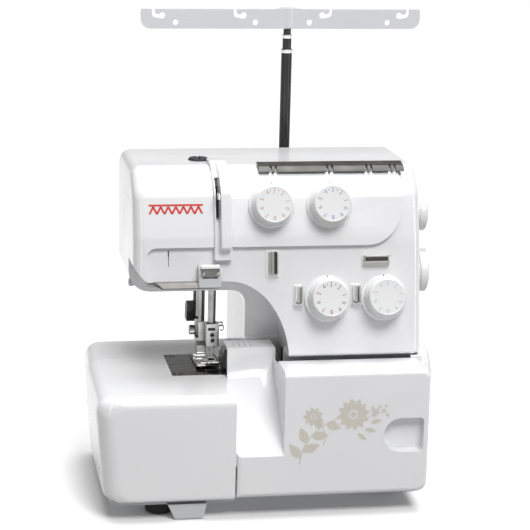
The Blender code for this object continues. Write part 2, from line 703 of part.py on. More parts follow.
def build_needle_bar():
    x, y = NEEDLE_BAR
    pivot = place(x, y, 200)
    radius = NEEDLE_BAR_RADIUS
    profile = ((radius - 0.4, 0), (radius, 0.5), (radius, 125.5), (radius - 0.5, 126))
    piece(turned("needle_bar", place(x, y, 144), (0, 0, 1), profile, 28), BRIGHT_STEEL, pivot)
    build_needle_clamp(pivot)
    profile = ((0, 111.2), (0.25, 112.0), (0.45, 114.0), (0.45, 121.6), (1.0, 123.4), (1.0, 138.5),
               (0, 138.5))
    for name, needle_x in zip(("needle_left", "needle_right"), NEEDLE_XS):
        piece(turned(name, place(needle_x, y, 0), (0, 0, 1), profile, 12), BRIGHT_STEEL, pivot)


def build_needle_clamp(pivot):
    """Block that holds both needles under the bar, with its set screws and thread loop."""
    x, y = NEEDLE_BAR
    outline = box_outline(106.0, 117.6, 97.2, 107.2, 1.4)
    clamp = prism("needle_clamp", outline, "Z", 126, 147.6, (0.6, 0.6), 1)
    cut(clamp, rod("bar_bore", place(x, y, 143.5), place(x, y, 160), NEEDLE_BAR_RADIUS + GAP, 24))
    middle = sum(NEEDLE_XS) / 2
    for z in (132.2, 137.4):
        cut(clamp, rod("screw_sink", place(middle, 90, z), place(middle, 98.4, z), 1.9, 16))
        fuse(clamp, rod("set_screw", place(middle, 98.0, z), place(middle, 100.4, z), 1.4, 12))
    for needle_x in NEEDLE_XS:
        cut(clamp, rod("needle_bore", place(needle_x, y, 100), place(needle_x, y, 139), 1.25, 16))
    path = ((116.5, 101, 144), (119, 100, 146), (121.2, 98.5, 145.4), (121.6, 97.4, 142.6),
            (119.8, 97.2, 141.2), (118.4, 98.2, 142.2))
    fuse(clamp, bent_rod("loop", [place(*point) for point in path], 0.75))
    piece(clamp, SATIN_STEEL, pivot)


def build_presser():
    """Presser bar and the foot holder clamped on it."""
    x, y = PRESSER_BAR
    pivot = place(x, y, 150)
    profile = ((PRESSER_BAR_RADIUS, 0), (PRESSER_BAR_RADIUS, 139.5), (PRESSER_BAR_RADIUS - 0.5, 140))
    bar = turned("presser_bar", place(x, y, 131), (0, 0, 1), profile, 24)
    cut(bar, block("flat", (90, x - 2), (100, 130), (125, 150)))
    piece(bar, SATIN_STEEL, pivot)
    side = ((107.5, 117.5, 1), (115.5, 117.5, 1), (124, 128, 2), (124, 146, 2), (112.4, 146, 1),
            (112.4, 128, 1), (107.5, 124, 1))
    holder = prism("foot_holder", side, "X", 98.6, 107.2, (0.8, 0.8), 1)
    cut(holder, rod("bar_bore", place(x, y, 120), place(x, y, 160), PRESSER_BAR_RADIUS + GAP, 24),
        block("bore_mouth", (90, x - 2), (112, 122), (130.7, 160)))
    profile = ((3.6, 0), (4.4, 1.5), (4.4, 5.2), (3.8, 6.0))
    screw = turned("foot_screw", place(99.4, 121.2, 136), (-1, 0, 0), profile, 20)
    cut(screw, block("slot", (80, 94.2), (110, 130), (135.4, 136.6)))
    piece(fuse(holder, screw), LIGHT_GREY, pivot)
    build_presser_foot()


def build_presser_foot():
    """Sole with a turned-up toe; it rocks on the cross pin below the holder."""
    y, z = FOOT_PIN
    side = ((81, 113.6, 0.6), (85, 111.0, 2), (128, 111.0, 1), (128, 112.8, 0.5), (100, 113.4, 1),
            (87, 113.6, 1), (80.5, 117.4, 0.6))
    sole = prism("presser_foot", side, "X", 95.6, 115.6)
    fuse(sole,
         block("cheek_left", (95.6, 97.8), (107.5, 117), (112, 116.6)),
         block("cheek_right", (108.0, 109.2), (107.5, 117), (112, 116.6)),
         rod("pin", place(96, y, z), place(109, y, z), 1.1, 12))
    cut(sole,
        block("needle_opening", (108.6, 114.4), (99, 106.6), (100, 130)),
        block("toe_slot", (104.2, 105.2), (50, 96), (100, 130)))
    piece(sole, BRIGHT_STEEL, place(PRESSER_BAR[0], y, z))


def build_lifter():
    """Presser foot lifter, a black finger lever behind the presser bar, and the pressure dial on top."""
    side = ((129, 200, 2), (129, 160, 3), (134, 140, 2), (146, 140, 2), (146, 154.5, 2), (137, 160, 3),
            (133, 200, 2))
    lever = prism("lifter_lever", side, "X", 92.8, 104.9, (1.0, 1.0), 2)
    cut(lever, block("stem_side", (80, 99), (120, 150), (158.6, 210)))
    piece(lever, DARK_PLASTIC, place(100, 131, 196))
    profile = ((6, 0), (8.9, 0.2), (8.9, 9.4), (8.1, 10.4))
    dial = turned("pressure_dial", place(*PRESSURE_DIAL, 284.5), (0, 0, 1), profile, 26)
    x = PRESSURE_DIAL[0]
    cut(dial, block("slot", (x - 0.8, x + 0.8), (100, 130), (293.8, 300)))
    piece(dial, DARK_PLASTIC, place(*PRESSURE_DIAL, 290))


def build_take_up():
    """Take-up lever and the slotted white cover it swings in."""
    side = ((88, 246, 2), (95, 246, 2), (95, 254, 2), (52, 276.5, 1.5), (45, 276, 1.5), (46, 271, 1.5),
            (54, 270, 1))
    lever = prism("take_up_lever", side, "X", *LEVER_X)
    cut(lever, rod("eye", place(90, 50, 273.4), place(120, 50, 273.4), 1.2, 10))
    piece(lever, BRIGHT_STEEL, place(sum(LEVER_X) / 2, 91.5, 250))
    frame_side = ((45.2, 218, 1), (46.9, 234, 30), (58.3, 277.6, 22), (84, 297.4, 26), (106, 296.6, 1),
                  (106, 290, 0), (84, 290, 22), (66, 274, 22), (56, 236, 12), (56, 218, 0))
    cover = prism("take_up_cover", frame_side, "X", 104.2, 119.6, (0.8, 0.8), 1)
    hood_side = ((46.5, 226, 1.5), (38.5, 230, 3), (40.5, 240, 10), (50.5, 279, 20), (66, 293.4, 8),
                 (84, 298.2, 5), (84, 292, 0), (66, 276, 20), (56, 240, 20))
    fuse(cover, prism("hood", hood_side, "X", LEVER_X[1] + 1.0, 118.2, (1.2, 1.2), 2))
    room = block("lever_room", (LEVER_X[0] - 0.8, LEVER_X[1] + 0.8), (30, 80), (250, 286))
    cut(cover, room, head_skin_tool())
    piece(cover, WHITE)


def head_skin_tool():
    """Solid of the head with its panel, a gap larger, that seats parts lying on it."""
    lower = ((front_face_y(200) - GAP, 200, 0), (front_face_y(PANEL_LOW) - GAP, PANEL_LOW - GAP, 0))
    upper = tuple((y - GAP, z, radius) for y, z, radius in panel_front()[1:3])
    step = (front_face_y(PANEL_LOW) - PANEL_PROUD - GAP, PANEL_LOW - GAP, 0)
    sheet = lower + (step,) + upper + ((85, HEAD_TOP + 1.2 + GAP, 26), (98, HEAD_TOP + GAP, 0),
                                       (130, HEAD_TOP + GAP, 0), (130, 200, 0))
    return prism("head_skin", sheet, "X", 60, 285)


def build_top_guide():
    """Slotted steel strip along the top edge of the head."""
    strip = ((74.5, 288.6, 0), (78.8, 292.8, 3), (88.5, 294.9, 0), (88.5, 295.9, 0), (78.2, 293.7, 3),
             (73.8, 289.4, 0))
    plate = prism("top_thread_guide", strip, "X", 145.9, 275.2)
    for x in (156, 206, 241, 262):
        for shift in (0, 4.4):
            cut(plate, block("slot", (x + shift, x + shift + 1.6), (60, 82), (280, 310)))
    for x in (160, 261):
        fuse(plate, block("stem", (x - 8, x - 3), (84.5, 88), (293.5, 295.3)))
    piece(plate, SATIN_STEEL)


def lean_on_face(obj, z):
    """Moves a guide drawn on Y 0 to the face of the head above height z, and leans it with the face."""
    y = front_face_y(z)
    obj.data.transform(Matrix.Translation((0, (y + 0.9) * MM, 0)))
    return tilt(obj, LOWER_LEAN, y, z)


def build_thread_guides():
    """Sheet guides on the face of the head."""
    plan = ((151.7, -1.6, 0), (159.6, -1.6, 0), (159.6, -7.2, 0), (158.4, -7.2, 0), (158.4, -3.0, 0),
            (155.4, -3.0, 0), (155.4, -8.6, 0), (154.2, -8.6, 0), (154.2, -3.0, 0), (151.7, -3.0, 0))
    upright = prism("thread_guide_upright", plan, "Z", 204.7, 223.8)
    piece(lean_on_face(upright, 204.7), SATIN_STEEL)
    side = ((-1.6, 210.4, 0), (-1.6, 219.6, 0), (-9.0, 219.6, 0), (-9.0, 218.4, 0), (-3.0, 218.4, 0),
            (-3.0, 214.4, 0), (-7.6, 214.4, 0), (-7.6, 213.2, 0), (-3.0, 213.2, 0), (-3.0, 210.4, 0))
    level = prism("thread_guide_level", side, "X", 235.8, 258.6)
    piece(lean_on_face(level, 210), SATIN_STEEL)
    for name, x in (("thread_hook_left", 175.0), ("thread_hook_right", 225.9)):
        plan = ((x, -1.6, 0), (x + 6.6, -1.6, 0), (x + 6.6, -9.6, 1), (x + 5.4, -9.6, 0),
                (x + 5.4, -2.8, 0), (x + 1.2, -2.8, 0), (x + 1.2, -5.0, 0), (x, -5.0, 0))
        piece(lean_on_face(prism(name, plan, "Z", 177.5, 194.0), 177.5), SATIN_STEEL)
    side = ((48.2, 194.0, 1.2), (39.5, 195.6, 1.5), (40.8, 208, 1.5), (45.6, 214.0, 1), (50.2, 214.0, 0),
            (47.9, 198.6, 0), (58, 198.2, 0), (58, 194.0, 1))
    guide = prism("arm_thread_guide", side, "X", 90.0, 109.6, (0.8, 0.8), 1)
    cut(guide, block("slot", (93.5, 106.2), (30, 45), (203.5, 205.0)))
    piece(guide, LIGHT_GREY)
    side = ((52, 197.6, 1), (52, 193.6, 1.5), (78, 193.6, 1.5), (78, 197.6, 1))
    piece(prism("lamp_lens", side, "X", 46, 66, (1.0, 1.0), 2), LAMP_CLEAR)


def build_tension_dials():
    cap, ring = DIAL_CAP_RADIUS, DIAL_RING_RADIUS
    profile = ((ring - 2.2, 5.2), (ring - 1.4, 6.2), (ring - 1.6, 8.0), (cap, 9.6), (cap - 0.3, 16.8),
               (cap - 1.3, 18.0))
    for name, x, z in TENSION_DIALS:
        base, direction = dial_axis(x, z)
        piece(turned(name, base, direction, profile, 24), DIAL_WHITE, base)


def build_side_dials():
    base = place(HEAD_RIGHT + GAP, 100, 246.5)
    profile = ((15.2, 0), (15.2, 5.5), (16.5, 6.5), (16.5, 12.6), (15.0, 14.2))
    piece(turned("stitch_length_dial", base, (1, 0, 0), profile, 24), DIAL_WHITE, base)
    base = place(HEAD_RIGHT + GAP, 100, 192)
    profile = ((16.6, 0), (16.6, 8.0), (18.5, 9.0), (18.5, 15.6), (17.0, 17.4))
    dial = turned("differential_dial", base, (1, 0, 0), profile, 24)
    fuse(dial, block("finger_tab", (HEAD_RIGHT + 9.6, HEAD_RIGHT + 17), (98.2, 101.8), (200, 214.2), 1.0))
    piece(dial, DIAL_WHITE, base)


def build_drive():
    """Handwheel, main shaft with its pulley, motor and drive belt."""
    y, z = MAIN_SHAFT
    base = place(HEAD_RIGHT + 1.0, y, z)
    profile = ((0, 0), (8.6, 0), (8.6, 2.0), (26.4, 3.0), (29.0, 6.0), (29.0, 16.5), (27.6, 21.0),
               (24.0, 24.0), (18, 24.5), (9, 22.5), (0, 22.2))
    wheel = turned("handwheel", base, (1, 0, 0), profile, 26)
    cut(wheel, rod("shaft_bore", place(280, y, z), place(HEAD_RIGHT + 14.3, y, z), 5.3, 24))
    piece(wheel, DIAL_WHITE, base)
    tail = HEAD_RIGHT + 14.0 - SHAFT_START
    shaft = shaft_with_pulley("main_shaft", MAIN_SHAFT, SHAFT_START, 5.0, SHAFT_PULLEY_RADIUS, tail)
    piece(shaft, SATIN_STEEL, place(SHAFT_START, y, z))
    y, z = MOTOR_SHAFT
    profile = ((0, 0), (10, 0), (10, 4), (23, 5), (25, 8), (25, 58), (23, 61), (8, 62), (8, 66), (0, 66))
    motor = turned("motor", place(186, y, z), (1, 0, 0), profile, 26)
    fuse(motor, block("mount", (200, 232), (80, 112), (PAN_TOP + GAP, 30)))
    cut(motor, rod("shaft_bore", place(228, y, z), place(270, y, z), 2.6, 20))
    piece(motor, DARK_PLASTIC)
    tail = BELT_X[1] + 1.3 - MOTOR_SHAFT_START
    piece(shaft_with_pulley("motor_pulley", MOTOR_SHAFT, MOTOR_SHAFT_START, 2.5, MOTOR_PULLEY_RADIUS, tail),
          SATIN_STEEL, place(MOTOR_SHAFT_START, y, z))
    build_belt()


def shaft_with_pulley(name, axis, start, shaft_radius, pulley_radius, tail):
    """Shaft along X from the start, with a flanged pulley where the belt runs."""
    low, high = BELT_X[0] - start, BELT_X[1] - start
    flange = pulley_radius + 1.3
    profile = ((0, 0), (shaft_radius, 0), (shaft_radius, low - 1.2), (flange, low - 1.2), (flange, low),
               (pulley_radius, low), (pulley_radius, high), (flange, high), (flange, high + 1.2),
               (shaft_radius, high + 1.2), (shaft_radius, tail), (0, tail))
    return turned(name, place(start, *axis), (1, 0, 0), profile, 26)


def belt_outline(extra):
    """Loop round the two pulleys in the YZ plane, its radii larger by the extra."""
    big, small = Vector(MAIN_SHAFT), Vector(MOTOR_SHAFT)
    along = small - big
    spread = math.acos((SHAFT_PULLEY_RADIUS - MOTOR_PULLEY_RADIUS) / along.length)
    heading = math.atan2(along.y, along.x)
    outline = []
    wraps = ((big, SHAFT_PULLEY_RADIUS, heading + spread, heading + 2 * math.pi - spread),
             (small, MOTOR_PULLEY_RADIUS, heading - spread, heading + spread))
    for centre, radius, start, end in wraps:
        for step in range(17):
            angle = start + (end - start) * step / 16
            outline.append(centre + (radius + extra) * Vector((math.cos(angle), math.sin(angle))))
    return outline


def build_belt():
    belt = prism("drive_belt", belt_outline(2.3), "X", BELT_X[0] + 1, BELT_X[1] - 1)
    cut(belt, prism("belt_room", belt_outline(0.4), "X", BELT_X[0] - 5, BELT_X[1] + 5))
    piece(belt, RUBBER)


def build_loopers():
    """Loopers and feed dog under the needle plate."""
    front = ((94, 40, 3), (102, 40, 3), (101, 82, 4), (106, 92, 3), (113, 94.2, 0.5), (104, 96.6, 2),
             (84, 99.2, 1), (83, 96.0, 1), (94, 88, 3))
    lower = prism("lower_looper", front, "Y", 92.6, 95.4)
    cut(lower, rod("pivot_bore", place(98, 80, 44), place(98, 110, 44), 1.6, 16))
    piece(lower, BRIGHT_STEEL, place(98, 94, 44))
    front = ((130, 56, 3), (138, 56, 3), (137, 92, 2), (129, 104.0, 2), (122, 106.0, 0), (125, 100.5, 2),
             (131, 90, 2))
    upper = prism("upper_looper", front, "Y", 82.6, 85.4)
    cut(upper, rod("pivot_bore", place(134, 70, 60), place(134, 96, 60), 1.6, 16))
    piece(upper, BRIGHT_STEEL, place(134, 84, 60))
    build_feed_dog()


def build_feed_dog():
    dog = block("feed_dog", (98.0, 107.4), (87, 115), (101, 105.6))
    start, pitch, low, high = 88.5, 3.1, 109.6, 110.4
    side = [Vector((start, 104))]
    for step in range(8):
        y = start + pitch * step
        side += [Vector((y, low)), Vector((y + 2.2, high)), Vector((y + 3.0, low))]
    side.append(Vector((y + 3.2, 104)))
    for x in (98.9, 103.9):
        fuse(dog, prism("teeth", side, "X", x, x + 2.6))
    piece(dog, SATIN_STEEL, place(102, 101, 100))


def build_electrics():
    """Power switch and mains inlet in the side cover."""
    rocker = prism("power_switch", box_outline(61, 72, 57.8, 76.2, 1), "X", 280, 288.6)
    fuse(rocker, prism("rocker_top", box_outline(62.2, 70.8, 59, 75), "X", 288, 289.4))
    piece(rocker, DARK_PLASTIC, place(282, 66.5, 67))
    socket = prism("power_inlet", box_outline(56.4, 76.6, 27.4, 48.6, 2), "X", 272, 288.4)
    cut(socket, prism("socket_room", box_outline(58.6, 74.4, 30.6, 45.4, 1.5), "X", 276, 300))
    for y in (62.5, 70.5):
        fuse(socket, rod("contact", place(274, y, 38), place(285, y, 38), 1.6, 12))
    piece(socket, DARK_PLASTIC)


def build_stand():
    """Spool stand behind the machine: tray with its feet, pole socket and four spool pins."""
    plan = ((66, 192, 8), (323.5, 192, 8), (323.5, DEPTH, 22), (66, DEPTH, 22))
    stand = prism("spool_stand", plan, "Z", *STAND_Z, (1.5, 2.0), 2)
    for x, y in ((82, 206), (308, 206), (84, 254), (306, 254)):
        fuse(stand, turned("stand_foot", place(x, y, 0.0), (0, 0, 1), ((7, 0), (9, 2), (9, 15)), 14))
    fuse(stand, turned("boss", place(*POLE, 15), (0, 0, 1), ((7.6, 0), (7.6, 12), (6.8, 13)), 20))
    cut(stand, rod("pole_socket", place(*POLE, 14.5), place(*POLE, 60), POLE_RADII[0] + GAP, 24))
    for x in SPOOL_XS:
        cut(stand, rod("pin_socket", place(x, SPOOL_Y, 10), place(x, SPOOL_Y, 40), 2.6, 16))
    piece(stand, WHITE)
    top = STAND_Z[1]
    profile = ((0, 14), (2.3, 14), (2.3, top + GAP), (19, top + GAP), (19.5, top + 3), (14, top + 22),
               (12.5, top + 24), (3.4, top + 24), (3.0, 78), (2.2, 80), (0, 80))
    for number, x in enumerate(SPOOL_XS, 1):
        pin = turned("spool_pin_%d" % number, place(x, SPOOL_Y, 0), (0, 0, 1), profile, 18)
        piece(pin, LIGHT_GREY)


def tube(name, radius, bore, low, high):
    """Tube of the pole, open at both ends."""
    profile = ((radius, low), (radius, high), (bore, high), (bore, low))
    return turned(name, place(*POLE, 0), (0, 0, 1), profile, 24, True)


def build_antenna():
    """Telescopic pole: fixed outer tube, middle tube and upper rod, with the thread guide bar on top."""
    floor = 15.0
    bores = (POLE_RADII[1] + 0.25, POLE_RADII[2] + 0.15)
    outer = tube("pole_outer", POLE_RADII[0], bores[0], floor, POLE_TOPS[0])
    plug = ((bores[0] + 0.3, floor), (bores[0] + 0.3, floor + 3))
    piece(fuse(outer, turned("plug", place(*POLE, 0), (0, 0, 1), plug, 24)), DARK_CHROME)
    middle = tube("pole_middle", POLE_RADII[1], bores[1], 210.0, POLE_TOPS[1])
    piece(middle, DARK_CHROME, place(*POLE, POLE_TOPS[0]))
    rod_top = BAR_Z[1] - 4
    upper = rod("pole_upper", place(*POLE, 220), place(*POLE, rod_top), POLE_RADII[2], 24)
    piece(upper, DARK_CHROME, place(*POLE, POLE_TOPS[1]))
    build_guide_bar()


def hook_slot(x, z, side):
    """Thread slot open at the bar's top edge, curving down to a round eye."""
    slot = rod("eye", place(x, POLE[1] - 20, z), place(x, POLE[1] + 20, z), 3.0, 14)
    neck = ((x, z - 3.0, 0), (x + side * 9.5, z - 1.5, 4), (x + side * 9.5, BAR_Z[1] + 3, 0),
            (x + side * 6.6, BAR_Z[1] + 3, 0), (x + side * 6.6, z + 1.6, 2), (x, z + 0.6, 0))
    return fuse(slot, prism("neck", neck, "Y", POLE[1] - 20, POLE[1] + 20))


def build_guide_bar():
    """Thread guide bar: sheet with hook slots and eyes, wrapped round the pole."""
    x, y = POLE
    low, high = BAR_Z
    front = y - 6.4
    outline = ((BAR_X[0], low, 10), (BAR_X[1], low, 10), (BAR_X[1], high - 0.6, 1.5),
               (BAR_X[0], high - 0.6, 1.5))
    bar = prism("guide_bar", outline, "Y", front, front + 1.5)
    fuse(bar,
         rod("wrap", place(x, y, low + 1), place(x, y, high), 7.6, 28),
         block("flare", (x - 12, x + 12), (front, front + 3), (low + 1, high - 0.2), 1.0))
    cut(bar, rod("pole_bore", place(x, y, low - 10), place(x, y, high - 3.4), POLE_RADII[2] + 0.15, 24))
    for eye_x, eye_z, side in ((74.7, 412.5, -1), (149.8, 412.5, -1), (223.0, 412.9, 1), (295.7, 412.5, 1)):
        cut(bar, hook_slot(eye_x, eye_z, side))
    for eye_x in (87.1, 160.8, 211.3, 284.7):
        cut(bar, rod("eye", place(eye_x, y - 20, 406.2), place(eye_x, y + 20, 406.2), 2.7, 12))
    piece(bar, LIGHT_GREY, place(x, y, low))


def main():
    for obj in list(bpy.data.objects):
        bpy.data.objects.remove(obj)
    build_base_pan()
    build_feet()
    build_bed_cover()
    build_cloth_plate()
    build_looper_cover()
    build_cover_hinge()
    build_head()
    build_side_cover()
    build_frames()
    build_needle_plate()
    build_knives()
    build_needle_bar()
    build_presser()
    build_lifter()
    build_take_up()
    build_top_guide()
    build_thread_guides()
    build_tension_dials()
    build_side_dials()
    build_drive()
    build_loopers()
    build_electrics()
    build_stand()
    build_antenna()


main()
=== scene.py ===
"""Looks of the serger overlock machine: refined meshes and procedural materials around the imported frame.

Drawing coordinates are millimetres: X to the right from the bed's left edge, Y to the rear from the front
face, Z up from the table, all counted from the cloth plate's corner in the frame.
"""
import json
import math

import bmesh
import bpy
from mathutils import Matrix, Vector


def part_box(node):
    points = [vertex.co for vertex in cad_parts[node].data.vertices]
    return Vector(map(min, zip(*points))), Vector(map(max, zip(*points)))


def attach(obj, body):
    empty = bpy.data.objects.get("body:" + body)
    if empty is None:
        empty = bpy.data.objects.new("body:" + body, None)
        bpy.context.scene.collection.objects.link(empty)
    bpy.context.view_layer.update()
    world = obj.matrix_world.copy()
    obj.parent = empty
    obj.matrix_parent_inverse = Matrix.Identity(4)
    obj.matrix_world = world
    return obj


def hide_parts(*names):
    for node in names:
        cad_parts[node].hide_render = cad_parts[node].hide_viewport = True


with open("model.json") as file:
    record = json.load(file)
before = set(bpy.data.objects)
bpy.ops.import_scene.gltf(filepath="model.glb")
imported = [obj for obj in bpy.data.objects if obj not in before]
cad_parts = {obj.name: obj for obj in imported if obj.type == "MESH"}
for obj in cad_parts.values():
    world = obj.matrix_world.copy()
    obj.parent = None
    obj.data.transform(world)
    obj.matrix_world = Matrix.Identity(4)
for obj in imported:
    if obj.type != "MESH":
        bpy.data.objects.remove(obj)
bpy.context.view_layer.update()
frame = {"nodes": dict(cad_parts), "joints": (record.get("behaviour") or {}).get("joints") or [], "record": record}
MM = 0.001
WHITE = (1.0, 1.0, 1.0, 1.0)
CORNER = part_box("cloth_plate")[0]
BODY_OF = {node: body for body, nodes in frame["record"]["behaviour"]["bodies"].items() for node in nodes}
SLOT_OF = {row["node"]: row["material_slot"] for row in frame["record"]["subparts"]}
JOINTS = {joint["name"]: joint for joint in frame["joints"]}


def at(x, y, z):
    """Point of the frame from drawing millimetres."""
    return Vector((CORNER.x + x * MM, CORNER.y + y * MM, z * MM))


def drawing_box(node):
    """Lowest and highest corner of a node in drawing millimetres."""
    corners = []
    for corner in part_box(node):
        corners.append(Vector(((corner.x - CORNER.x) / MM, (corner.y - CORNER.y) / MM, corner.z / MM)))
    return corners


# ---------------------------------------------------------------- materials

class Graph:
    """Short way to build a material's nodes."""

    def __init__(self, name):
        self.material = bpy.data.materials.new(name)
        self.material.use_nodes = True
        self.tree = self.material.node_tree
        self.shader = self.tree.nodes["Principled BSDF"]
        self.place = self.add("ShaderNodeTexCoord").outputs["Object"]

    def add(self, kind, **inputs):
        """New node, its inputs given by name with _ for a space."""
        node = self.tree.nodes.new(kind)
        for key, value in inputs.items():
            self.put(node.inputs[key.replace("_", " ")], value)
        return node

    def put(self, socket, value):
        """Links another node's output to the socket, or sets a constant."""
        if isinstance(value, bpy.types.NodeSocket):
            self.tree.links.new(value, socket)
        else:
            socket.default_value = value

    def set(self, **inputs):
        """Inputs of the shader."""
        for key, value in inputs.items():
            self.put(self.shader.inputs[key.replace("_", " ")], value)

    def noise(self, scale, detail=3.0, stretch=None, roughness=0.5):
        """Noise in object space, drawn out where stretch is under 1."""
        node = self.add("ShaderNodeTexNoise", Scale=scale, Detail=detail, Roughness=roughness)
        source = self.place
        if stretch:
            source = self.add("ShaderNodeMapping", Vector=self.place, Scale=stretch).outputs["Vector"]
        self.put(node.inputs["Vector"], source)
        return node.outputs["Fac"]

    def spread(self, value, low=0.0, high=1.0, start=0.3, end=0.7):
        """Value between start and end mapped to low..high."""
        node = self.add("ShaderNodeMapRange")
        self.put(node.inputs["Value"], value)
        for key, amount in (("From Min", start), ("From Max", end), ("To Min", low), ("To Max", high)):
            node.inputs[key].default_value = amount
        return node.outputs["Result"]

    def blend(self, factor, first, second):
        """Colour from first, at factor 0, to second, at factor 1."""
        node = self.tree.nodes.new("ShaderNodeMix")
        node.data_type = "RGBA"
        # The Mix node has one set of sockets for each data type: 0, 6 and 7 belong to a colour.
        self.put(node.inputs[0], factor)
        self.put(node.inputs[6], first)
        self.put(node.inputs[7], second)
        return node.outputs[2]

    def bump(self, height, strength, distance, normal=None):
        """Normal of a height pattern, laid over another normal if one is given."""
        node = self.add("ShaderNodeBump", Strength=strength, Distance=distance)
        self.put(node.inputs["Height"], height)
        if normal is not None:
            self.put(node.inputs["Normal"], normal)
        return node.outputs["Normal"]

    def edge_highlight_mask(self, low=0.52, high=0.6):
        """1 along outward edges, 0 elsewhere: the mask of a painted highlight along the edges."""
        geometry = self.tree.nodes.new("ShaderNodeNewGeometry")
        return self.spread(geometry.outputs["Pointiness"], 0.0, 1.0, low, high)


def colour(red, green, blue):
    """Opaque linear colour."""
    return (red, green, blue, 1.0)


def shade_of(base, factor, lift=0.0):
    """Colour made lighter or darker by a factor, at most white."""
    return tuple(min(channel * factor + lift, 1.0) for channel in base[:3]) + (1.0,)


def moulded_plastic(name, base, shade, roughness, coat, texture=0.12, grain=2600.0):
    """Injection-moulded plastic: slight colour drift, a painted highlight along outward edges, soft flow ripple
    and a fine mould texture.
    """
    graph = Graph(name)
    drift = graph.noise(9.0, 3.0)
    tone = graph.blend(graph.spread(drift), base, shade)
    # Outward edges painted slightly lighter: a painted highlight.
    tone = graph.blend(graph.spread(graph.edge_highlight_mask(), 0.0, 0.5, 0.0, 1.0), tone, shade_of(base, 1.05))
    graph.set(Base_Color=tone)
    handled = graph.spread(graph.noise(24.0, 4.0), roughness - 0.035, roughness + 0.05)
    graph.set(Roughness=handled)
    ripple = graph.bump(graph.noise(60.0, 2.0), 0.04, 0.0006)
    graph.set(Normal=graph.bump(graph.spread(graph.noise(grain, 2.0)), texture, 0.00004, ripple))
    graph.set(Coat_Weight=coat, Coat_Roughness=0.06, IOR=1.5)
    return graph.material


def brushed_metal(name, base, dark, roughness, stretch, scale=260.0, scratch=0.35):
    """Metal with fine lines along one direction and a few darker stains."""
    graph = Graph(name)
    lines = graph.noise(scale, 4.0, stretch, 0.65)
    stain = graph.noise(55.0, 3.0)
    tone = graph.blend(graph.spread(stain, 0.0, 0.55), base, dark)
    tone = graph.blend(graph.spread(lines, 0.0, 0.35), tone, dark)
    graph.set(Base_Color=tone, Metallic=1.0)
    graph.set(Roughness=graph.spread(lines, roughness - 0.06, roughness + 0.12))
    graph.set(Normal=graph.bump(lines, scratch, 0.00003))
    return graph.material


def soft_rubber(name, base):
    """Matt rubber with a powdery bloom and fine grain."""
    graph = Graph(name)
    bloom = graph.noise(90.0, 5.0)
    graph.set(Base_Color=graph.blend(graph.spread(bloom, 0.0, 0.7), base, shade_of(base, 2.6)))
    graph.set(Roughness=graph.spread(bloom, 0.7, 0.9))
    graph.set(Normal=graph.bump(graph.noise(1400.0, 3.0), 0.35, 0.00008))
    return graph.material


def painted_casting(name, base):
    """Sand casting under hammered grey paint."""
    graph = Graph(name)
    lumps = graph.noise(240.0, 4.0)
    dust = graph.noise(30.0, 5.0)
    graph.set(Base_Color=graph.blend(graph.spread(dust), base, shade_of(base, 0.72)))
    graph.set(Roughness=graph.spread(lumps, 0.42, 0.62), Metallic=0.25)
    graph.set(Normal=graph.bump(lumps, 0.5, 0.00025))
    return graph.material


def polished_tube(name, base, dark, roughness):
    """Smoked chrome tube with drawing lines along its length and faint fingerprints."""
    graph = Graph(name)
    drawn = graph.noise(900.0, 3.0, (1.0, 1.0, 0.01))
    prints = graph.noise(70.0, 4.0)
    graph.set(Base_Color=graph.blend(graph.spread(drawn, 0.0, 0.6), base, dark), Metallic=1.0)
    graph.set(Roughness=graph.spread(prints, roughness, roughness + 0.12))
    graph.set(Normal=graph.bump(drawn, 0.08, 0.00002))
    return graph.material


def printed_ink(name, base):
    """Pad-printed ink, slightly uneven and thin."""
    graph = Graph(name)
    cover = graph.noise(1500.0, 3.0)
    graph.set(Base_Color=graph.blend(graph.spread(cover, 0.0, 0.8), base, shade_of(base, 1.25, 0.04)))
    graph.set(Roughness=graph.spread(cover, 0.4, 0.6))
    graph.set(Normal=graph.bump(cover, 0.1, 0.00002))
    return graph.material


def frosted_lens(name):
    """Frosted clear plastic of the lamp window."""
    graph = Graph(name)
    prisms = graph.noise(700.0, 2.0, (1.0, 0.1, 1.0))
    graph.set(Base_Color=graph.blend(graph.spread(prisms), colour(0.86, 0.86, 0.82),
                                     colour(0.7, 0.71, 0.7)))
    graph.set(Roughness=graph.spread(prisms, 0.2, 0.45), IOR=1.49)
    graph.set(Transmission_Weight=0.35)
    graph.set(Normal=graph.bump(prisms, 0.3, 0.0001))
    return graph.material


def pale_floor(name):
    """Matt pale paper with a faint drift of tone."""
    graph = Graph(name)
    drift = graph.noise(1.2, 2.0)
    graph.set(Base_Color=graph.blend(graph.spread(drift), colour(0.93, 0.93, 0.93),
                                     colour(0.91, 0.91, 0.915)))
    graph.set(Roughness=0.8, Specular_IOR_Level=0.1)
    return graph.material


